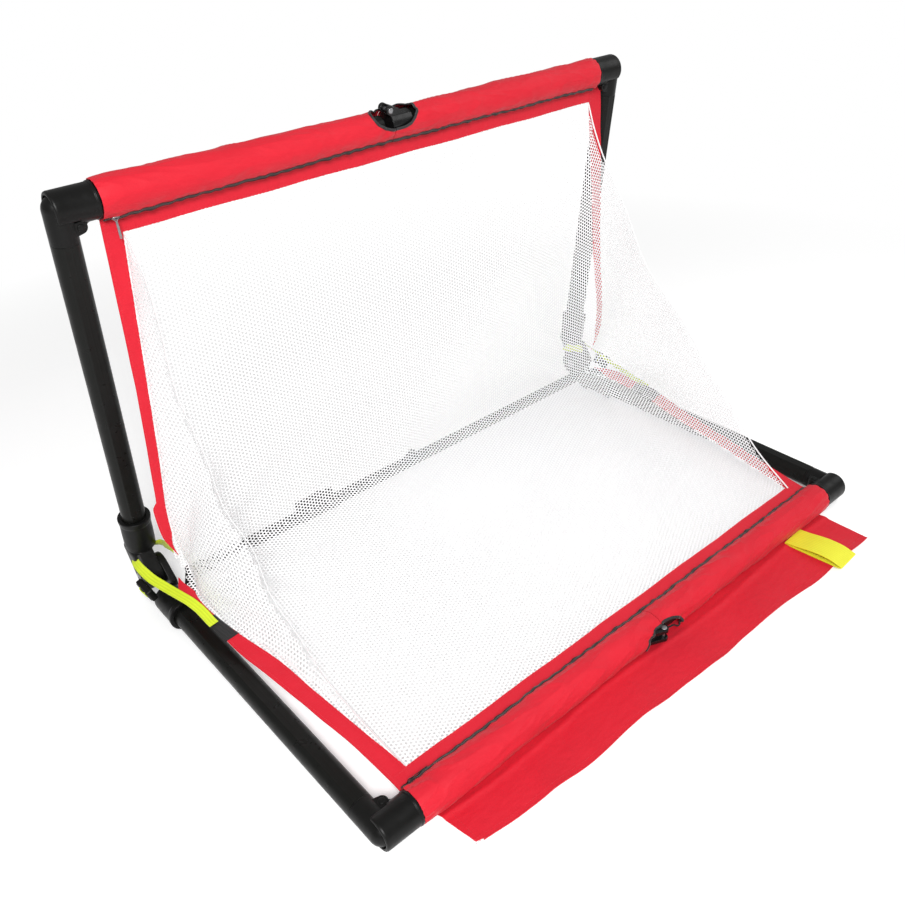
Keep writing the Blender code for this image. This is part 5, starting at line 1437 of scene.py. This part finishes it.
def lattice(inside, low, high, pitch=0.0074, row=0.0060, lean=math.radians(147.7), flip=1, centre=None):
    """A flat, staggered, triangulated lattice of the points that fall inside an outline."""
    first = Vector((math.cos(lean), math.sin(lean))) * pitch
    second = first / 2 + Vector((-math.sin(lean), math.cos(lean))) * row
    centre = Vector(centre) if centre else (Vector(low) + Vector(high)) / 2
    reach = int(((Vector(high) - Vector(low)).length / 2 + abs(centre.y - (low[1] + high[1]) / 2))
                / min(pitch, row) * 1.25) + 2
    numbers, points, faces = {}, [], []
    for i in range(-reach, reach + 1):
        for j in range(-reach, reach + 1):
            p = centre + first * i + second * j
            p.y *= flip
            if low[0] <= p.x <= high[0] and low[1] <= p.y <= high[1] and inside(p.x, p.y):
                numbers[i, j] = len(points)
                points.append(p)
    for (i, j), here in numbers.items():
        right, over, corner = numbers.get((i + 1, j)), numbers.get((i, j + 1)), numbers.get((i + 1, j + 1))
        if right is not None and over is not None:
            faces.append((here, right, over))
            if corner is not None:
                faces.append((right, corner, over))
    return points, faces


def open_net(points, faces):
    mesh = bpy.data.meshes.new("net")
    mesh.from_pydata([tuple(p) for p in points], [], faces)
    return NET.made(mesh, Opening=NET_OPENING, Material=YARN)


def panel_net(panel):
    def inside(x, s):
        return panel.left(s) - BEHIND < x < panel.right(s) + BEHIND

    points, faces = lattice(inside, (-0.60, -0.0085), (0.60, panel.end + 0.013),
                            flip=-1 if panel is NET_LOWER else 1, centre=(0, 0))
    mesh = open_net([panel.point(p.x, p.y) for p in points], faces)
    return mesh


def side_strip(panel, sign, start, thick=0.0012):
    """The border along an arm: doubled cloth with a rolled outer edge and small puckers."""
    inner = panel.left if sign < 0 else panel.right
    outer = panel.outer_left if sign < 0 else panel.outer_right
    rows, seams = [], ([], [])
    end = panel.length - 0.001
    count = 150
    for j in range(count + 1):
        s = start + (end - start) * j / count
        a, b = inner(s), outer(s)
        pointed = min(1.0, (s - start) / 0.05 + 0.03)
        a = b + (a - b) * pointed if sign < 0 else b + (a - b) * pointed
        a += -sign * 0.0006 * abs(math.sin(math.pi * s / 0.0068))

        def rise(share):
            return 0.0007 + 0.0009 * noise.noise(Vector((s * 26, share * 1.5, sign * 7)))

        row = []
        for k in range(9):
            share = k / 8
            x = a + (b - a) * share
            edge = 0.0012 * max(0.0, share - 0.6) * math.sin(s * 61 + 2 * sign)
            row.append(panel.point(x, s, rise(share) + edge))
        rows.append(row)
        for seam, share in zip(seams, (0.13, 0.84)):
            if s > start + 0.02:
                x = a + (b - a) * share
                place = panel.point(x, s, rise(share) + thick / 2 + 0.0001)
                seam.append((place, Vector((0, panel.inside.x, panel.inside.y))))
    return sheet_mesh(rows, thick), seams


def bar_strip(panel):
    """The border along the bar: from the net's end up over the sleeve to the zip."""
    rows, seams = [], ([], [])
    count = 330
    for j in range(count + 1):
        x = -0.5215 + 1.043 * j / count
        hem = panel.end - 0.0007 * abs(math.sin(math.pi * x / 0.0068)) + 0.0006 * math.sin(x * 31)
        middle = zip_angle(panel.bar, x)
        near = [sleeve_point(panel.bar, x, a, lift) for a, lift in
                ((middle - 0.36, 0.0008), (middle - 0.16, 0.0006))]
        if panel.bar == "crossbar":
            near = [UP_TO_LOWER @ p for p in near]
        ripple = 0.0009 * noise.noise(Vector((x * 24, 3.0, 1.0)))
        places = [panel.point(x, hem, 0.0007 + ripple), panel.point(x, hem + 0.010, 0.0010 + ripple),
                  panel.point(x, panel.length - 0.0075, 0.0012)] + near
        line = curve_through([tuple(p) for p in places], 12)
        rows.append([Vector(p) for p in line])
        up = Vector((0, panel.inside.x, panel.inside.y))
        seams[0].append((Vector(line[1]) + up * 0.0007, up))
        seams[1].append((Vector(line[8]) + up * 0.0008, up))
    return sheet_mesh(rows, 0.0011), seams


def tab_over(panel, sign, low, high, lift, reach=0.0015):
    """A short piece of black webbing wrapped over the border."""
    inner = panel.left if sign < 0 else panel.right
    outer = panel.outer_left if sign < 0 else panel.outer_right
    rows = []
    for j in range(9):
        s = low + (high - low) * j / 8
        row = []
        for k in range(9):
            share = -0.06 + 1.12 * k / 8
            x = inner(s) + (outer(s) - inner(s)) * share
            bend = -0.0022 if k in (0, 8) else 0.0
            row.append(panel.point(x + (sign * reach if k == 8 else 0), s, lift + bend))
        rows.append(row)
    mesh = sheet_mesh(rows, 0.0013)
    mesh.materials.append(BLACK_WEB)
    return mesh


def build_panel(panel):
    body = BODY[f"net_{panel.name}"]
    net = piece(f"net_{panel.name}_mesh", panel_net(panel), body, None, LOWER, 0, (f"net_{panel.name}",))
    strips, seams = [], []
    starts = {"lower": (0.0, 0.004), "upper": (0.047, 0.050)}[panel.name]
    for sign, start in zip((-1, 1), starts):
        mesh, sewn = side_strip(panel, sign, start)
        strips.append(mesh)
        seams += list(sewn)
    mesh, sewn = bar_strip(panel)
    strips.append(mesh)
    seams += list(sewn)
    cloth = joined(*strips)
    for polygon in cloth.polygons:
        polygon.material_index = 0
    border = piece(f"net_{panel.name}_border", cloth, body, RED_BORDER, LOWER, 50)
    sewn = piece(f"net_{panel.name}_stitching", stitches(seams, RED_THREAD), body, None, LOWER, 0)
    pieces = [border, sewn]
    if panel.name == "lower":
        tabs = joined(*[tab_over(panel, sign, 0.118, 0.182, 0.0022) for sign in (-1, 1)])
        pieces.append(piece("net_lower_tabs", tabs, body, None, LOWER, 50))
    wide = 2 * max(abs(panel.outer_left(0.1)), abs(panel.outer_right(0.1)))
    # it isn't the area of the cloth as cut
    for thing in [net] + pieces:
        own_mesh(thing)
    return net


# Side nets: the free edge from the crossbar's corner to the ground bar's, in (y, z)
FREE_EDGE = {
    "left": [(-0.0925, 0.6690), (-0.1120, 0.6480), (-0.1350, 0.6080), (-0.1430, 0.5400), (-0.1460, 0.4700),
             (-0.1560, 0.4080), (-0.1830, 0.3500), (-0.2180, 0.2900), (-0.2620, 0.2420), (-0.3000, 0.2000),
             (-0.3300, 0.1570), (-0.3680, 0.1150), (-0.4200, 0.0760), (-0.4900, 0.0420), (-0.5900, 0.0230),
             (-0.6780, 0.0115)],
    "right": [(-0.0895, 0.6726), (-0.1101, 0.6243), (-0.1491, 0.5582), (-0.2062, 0.4784), (-0.2673, 0.3903),
              (-0.3374, 0.3154), (-0.4191, 0.2451), (-0.5018, 0.1627), (-0.5815, 0.0801), (-0.6840, 0.0115)]}


def side_net(side):
    """A side net and its hem along the free edge."""
    sign = -1 if side == "left" else 1
    free = curve_through(FREE_EDGE[side], 160)
    corner = Vector((CREASE.y, CREASE.z))
    low, high = NET_LOWER, NET_UPPER
    inner_low, inner_high = (low.left, high.left) if side == "left" else (low.right, high.right)
    outline = [tuple(corner + high.run * s - high.inside * 0.011) for s in np.linspace(-0.006, high.end, 30)]
    outline += [tuple(p) for p in free]
    outline += [tuple(corner + low.run * s - low.inside * 0.011) for s in np.linspace(low.end, -0.006, 30)]
    outline = np.array(outline)

    def inside(y, z):
        x1, y1 = outline[:, 0], outline[:, 1]
        x2, y2 = np.roll(x1, -1), np.roll(y1, -1)
        with np.errstate(divide="ignore", invalid="ignore"):
            cross = ((y1 > z) != (y2 > z)) & (y < (x2 - x1) * (z - y1) / (y2 - y1) + x1)
        return bool(np.count_nonzero(cross) % 2)

    def place(y, z):
        """In x, between the sheets' edges and the free edge; behind a sheet it is turned in onto it."""
        p = Vector((y, z)) - corner
        turned_in = 0.0
        for sheet in (low, high):
            over = p.dot(sheet.inside) - 0.0014
            if over < 0:
                turned_in = min(turned_in, over)
                p -= sheet.inside * over
        y, z = p.x + corner.x, p.y + corner.y
        on_low, on_high = p.dot(low.run), p.dot(high.run)
        far_low, far_high = abs(p.dot(low.inside)), abs(p.dot(high.inside))
        to_free = float(np.min(np.hypot(free[:, 0] - y, free[:, 1] - z)))
        a, b, c = 1 / (far_low + 0.002), 1 / (far_high + 0.002), 1 / (to_free + 0.004)
        x_free = sign * (0.493 if side == "left" else 0.493 + 0.025 * max(0.0, min(1.0, z / 0.67)))
        x = a * inner_low(max(0, on_low)) + b * inner_high(max(0, on_high)) + c * x_free
        x /= a + b + c
        fold = 0.004 * noise.noise(Vector((y * 6, z * 6, sign * 3.0)))
        way = math.atan2(p.y, -p.x)
        fold += 0.0045 * math.sin(9 * way + sign) * math.exp(-((p.length - 0.25) / 0.2) ** 2)
        quiet = min(1.0, far_low / 0.05, far_high / 0.05)
        return Vector((x + sign * (fold * quiet + turned_in), y, z))

    lean = math.radians(118 if side == "right" else 62)
    points, faces = lattice(inside, (-0.70, 0.0), (-0.08, 0.69), lean=lean)
    mesh = open_net([place(p.x, p.y) for p in points], faces)
    body = BODY[f"side_net_{side}"]
    net = piece(f"side_net_{side}_mesh", mesh, body, None, LOWER, 0, (f"side_net_{side}",))
    hem_path = [place(y, z) for y, z in free]
    hem = tube_along(hem_path, [Vector((sign, 0, 0))] * len(hem_path), 0.0019, 0.0008, 8)
    hem.materials.append(HEM)
    hemmed = piece(f"side_net_{side}_hem", hem, body, None, LOWER, 60)
    # Chosen so that the shares are taken, and not measured: both cuts need about 0.88 x 0.39 m. The left
    # area is the strands' own surface; the right one is LEAST_SHARE of flat, above its strands' 0.088 m2.
    for thing in (net, hemmed):
        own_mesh(thing)


# Straps, apron, loop and tie
STRAP_HALF = 0.0086
FLAP_ROOT = 0.7300           # the apron leaves the sleeve here


def ribbon(path, across, thickness, count=90, columns=7):
    """Webbing along a smooth path, its half width given at each place."""
    line = curve_through(path, count)
    knots = np.linspace(0, 1, len(across))
    wide = np.stack([np.interp(np.linspace(0, 1, count), knots, np.array(across)[:, k])
                     for k in range(3)], axis=1)
    rows = []
    for k in range(count):
        tangent = Vector(line[min(k + 1, count - 1)] - line[max(k - 1, 0)]).normalized()
        side = Vector(wide[k])
        half = side.length
        side = (side - tangent * side.dot(tangent)).normalized() * half
        rows.append([Vector(line[k]) + side * t for t in np.linspace(-1, 1, columns)])
    return sheet_mesh(rows, thickness)


def strap_shape():
    """Yellow webbing from the border's tab, over the knuckle's outer edge and round behind it (right)."""
    path = [(0.5690, -0.2600, 0.0495), (0.5700, -0.2500, 0.0508), (0.5702, -0.2375, 0.0520),
            (0.5715, -0.2135, 0.0545), (0.5758, -0.1874, 0.0570), (0.5817, -0.1616, 0.0572),
            (0.5898, -0.1264, 0.0572), (0.5980, -0.0923, 0.0590), (0.6020, -0.0640, 0.0628),
            (0.6030, -0.0480, 0.0655), (0.6020, -0.0330, 0.0668), (0.5970, -0.0200, 0.0668),
            (0.5880, -0.0100, 0.0655), (0.5770, -0.0060, 0.0650), (0.5640, -0.0070, 0.0660),
            (0.5530, -0.0130, 0.0690), (0.5465, -0.0250, 0.0740), (0.5450, -0.0400, 0.0790),
            (0.5450, -0.0560, 0.0840), (0.5455, -0.0760, 0.0900)]
    across = []
    flat, edge, rear, inner = (Vector(v) for v in ((1, 0.12, 0), (0.80, 0.15, -0.35), (0.15, 0.75, -0.65),
                                                   (-0.1, 0.55, -0.80)))
    for k in range(len(path)):
        if k < 6:
            way = flat.lerp(edge, k / 12)
        elif k < 10:
            way = flat.lerp(edge, 0.5 + (k - 6) / 8)
        elif k < 14:
            way = edge.lerp(rear, (k - 9) / 5)
        else:
            way = rear.lerp(inner, (k - 13) / 6)
        across.append(tuple(way.normalized() * STRAP_HALF))
    return ribbon(path, across, 0.0014, 170)


def strap_box():
    """The box stitch that holds the strap to its tab."""
    corners = [(0.5635, -0.2570), (0.5762, -0.2562), (0.5770, -0.2410), (0.5643, -0.2418), (0.5635, -0.2570),
               (0.5770, -0.2410)]
    up = Vector((0, -0.10, 1)).normalized()
    path = [(Vector((x, y, 0.0514 + 0.10 * (y + 0.253))), up) for x, y in corners]
    return stitches([path], YELLOW_THREAD, 0.0026, 0.0020, 0.0006, 0.0005)


def buckle_shape():
    """A ladder lock: rounded frame, three bars, and the strap's short end through it (right side)."""
    frame_block = rounded_block((-0.0058, -0.0205, -0.0145), (0.0058, 0.0205, 0.0145), 0.0028, 4)
    slots = [block((-0.02, side * 0.0090 - 0.0024, -0.0100), (0.02, side * 0.0090 + 0.0024, 0.0100))
             for side in (-1, 1)]
    body = cut(frame_block, *slots)
    ridges = [rounded_block((-0.0070, y - 0.0011, -0.0110), (0.0070, y + 0.0011, 0.0110), 0.0006, 2)
              for y in (-0.0160, -0.0130, -0.0020, 0.0020, 0.0130, 0.0160)]
    body = softened(fuse(body, *ridges), 0.0004, 2, 0.3)
    body.materials.append(MOULDED)
    tail = ribbon([(0.0010, -0.0092, 0), (0.0064, -0.0080, 0), (0.0084, -0.0030, 0), (0.0084, 0.0030, 0),
                   (0.0064, 0.0082, 0), (-0.0030, 0.0094, 0)], [(0, 0, STRAP_HALF)] * 6, 0.0012, 50)
    tail.materials.append(YELLOW)
    whole = joined(body, tail)
    whole.transform(Matrix.Translation((0.6110, -0.0850, 0.0375)) @ Matrix.Rotation(math.radians(20), 4, "Y")
                    @ Matrix.Rotation(math.radians(8), 4, "X"))
    return whole


def apron_edge(x):
    share = (x - FLAP_LEFT) / (FLAP_RIGHT - FLAP_LEFT)
    return -(0.8330 + 0.0230 * share + 0.0022 * math.sin(x * 19 + 1) + 0.0012 * math.sin(x * 43)
             - 0.0050 * max(0.0, 1 - share / 0.12))


def apron_point(x, share, lift=0.0):
    """share runs from the sleeve's foot to the apron's free edge."""
    y = -FLAP_ROOT + (apron_edge(x) + FLAP_ROOT) * share
    wave = 0.5 + 0.5 * math.sin(33 * x + 0.9 * math.sin(9 * x) + 0.6 * share)
    small = noise.noise(Vector((x * 22, y * 14, 2.0)))
    grain = 0.0006 * abs(noise.noise(Vector((x * 60, y * 60, 0))))
    rise = share ** 1.3 * (0.0052 * wave ** 2 + 0.0012 * small) + grain
    fold = 0.0022 * math.exp(-((share - 0.30 - 0.05 * math.sin(x * 12)) / 0.05) ** 2)
    return Vector((x, y, -FLOOR_DROP + 0.0010 + max(rise, 0) + fold + lift))


def apron_half(side):
    low, high = ((FLAP_LEFT, 0.0), (0.0, FLAP_RIGHT))[side == "right"]
    rows = []
    for j in range(181):
        along_x = low + (high - low) * j / 180
        row = []
        for k in range(41):
            share = k / 40
            x = along_x
            if side == "left":
                near = max(0.0, 1 - j / 30)
                x += near * (-0.0139 + 0.0157 * share)
                share *= 1 - 0.05 * max(0.0, 1 - j / 14) ** 2
            row.append(apron_point(x, share))
        rows.append(row)
    cloth = sheet_mesh(rows, 0.0011)
    cloth.materials.append(RED)
    seams = []
    ups = Vector((0, 0, 1))
    for share in (0.925, 0.985):
        seams.append([(apron_point(low + (high - low) * j / 240, share, 0.0010), ups) for j in range(241)])
    end_x = low + 0.006 if side == "left" else high - 0.006
    seams.append([(apron_point(end_x, 0.30 + 0.68 * j / 60, 0.0010), ups) for j in range(61)])
    sewn = stitches(seams, RED_THREAD, 0.0038, 0.0028, 0.0006, 0.0005)
    ends = 6 if side == "left" else 0
    path = [apron_point(low + (high - low) * j / 240, 1.0, 0.0004) for j in range(ends, 241)]
    bead = tube_along(path, [ups] * len(path), 0.0012, 0.0011, 8)
    bead.materials.append(RED)
    return joined(cloth, bead), sewn


def loop_shape():
    """The wide yellow webbing loop on the apron: two layers that part towards the bend."""
    def line(share, top):
        y = -LOOP_BACK - (LOOP_FRONT - LOOP_BACK) * share
        x = 0.4055 + 0.0035 * share
        base = apron_point(0.405, min(1.0, (0.753 + 0.112 * share - 0.730) / 0.12)).z + 0.0014
        swell = 0.0024 + 0.0085 * math.sin(math.pi * min(1.0, share ** 1.5)) ** 0.8
        return (x, y, base + (swell if top else 0.0))

    path = [line(s, False) for s in (0.0, 0.2, 0.4, 0.6, 0.8, 0.93)]
    nose = line(0.985, False)
    path += [(nose[0], nose[1] - 0.0035, nose[2] + 0.0030)]
    path += [line(s, True) for s in (0.93, 0.8, 0.6, 0.4, 0.2, 0.0)]
    across = [(0.0275, 0.0015, 0.0)] * len(path)
    return ribbon(path, across, 0.0015, 170, 9)


def tie_shape():
    """Black webbing tied round the rear bar, its ends pressed together behind and above."""
    lean = math.radians(50)
    radius = REAR_RADIUS + CLEARANCE + 0.001
    gap = 0.0035
    spread = math.asin(gap / 2 / radius)
    along_y, along_z = math.cos(lean), math.sin(lean)
    rows = []
    for j in range(41):
        share = j / 40
        x = TIE_X + (share - 0.5) * TIE_LENGTH
        swell = 0.0008 * noise.noise(Vector((x * 70, 0, 0)))
        reach = radius + TIE_TAIL * (0.80 + 0.20 * math.sin(math.pi * share)) + 0.0012 * math.sin(x * 150)
        path = [(along_y * reach - along_z * gap / 2, along_z * reach + along_y * gap / 2)]
        for k in range(33):
            angle = lean + spread + (2 * math.pi - 2 * spread) * k / 32
            r = radius + swell + 0.0005 * abs(math.sin(3 * angle + x * 60))
            path.append((r * math.cos(angle), r * math.sin(angle)))
        path.append((along_y * reach + along_z * gap / 2, along_z * reach - along_y * gap / 2))
        rows.append([Vector((x, -REAR_FORWARD + y, REAR_RISE + z)) for y, z in path])
    mesh = sheet_mesh(rows, 0.0016)
    mesh.materials.append(BLACK_WEB)
    return mesh


def build_soft():
    for panel in (NET_LOWER, NET_UPPER):
        build_panel(panel)
    for side in ("left", "right"):
        side_net(side)
    strap, box, buckle = strap_shape(), strap_box(), buckle_shape()
    for side, turn in (("right", lambda m: m.copy()), ("left", mirrored)):
        node = f"strap_{side}"
        for thing in (piece(f"{node}_webbing", turn(strap), BODY[node], YELLOW, LOWER, 60, (node,)),
                      piece(f"{node}_stitches", turn(box), BODY[node], None, LOWER, 0)):
            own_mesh(thing)
        piece(f"strap_buckle_{side}_lock", turn(buckle), BODY[f"strap_buckle_{side}"], None, LOWER, 50,
              (f"strap_buckle_{side}",))
        cloth, sewn = apron_half(side)
        body = f"ground_{side}"
        apron = piece(f"apron_{side}", cloth, body, None, LOWER, 60, ("apron",) if side == "left" else ())
        seams = piece(f"apron_{side}_stitches", sewn, body, None, LOWER, 0)
        for thing in (apron, seams):
            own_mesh(thing)
    loop = piece("handle_loop_webbing", loop_shape(), BODY["handle_loop"], YELLOW_WIDE, LOWER, 60,
                 ("handle_loop",))
    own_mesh(loop)
    piece("net_tie_webbing", tie_shape(), BODY["net_tie"], None, LOWER, 60, ("net_tie",))


shapes = build_frame()
build_bars(*shapes)
build_soft()
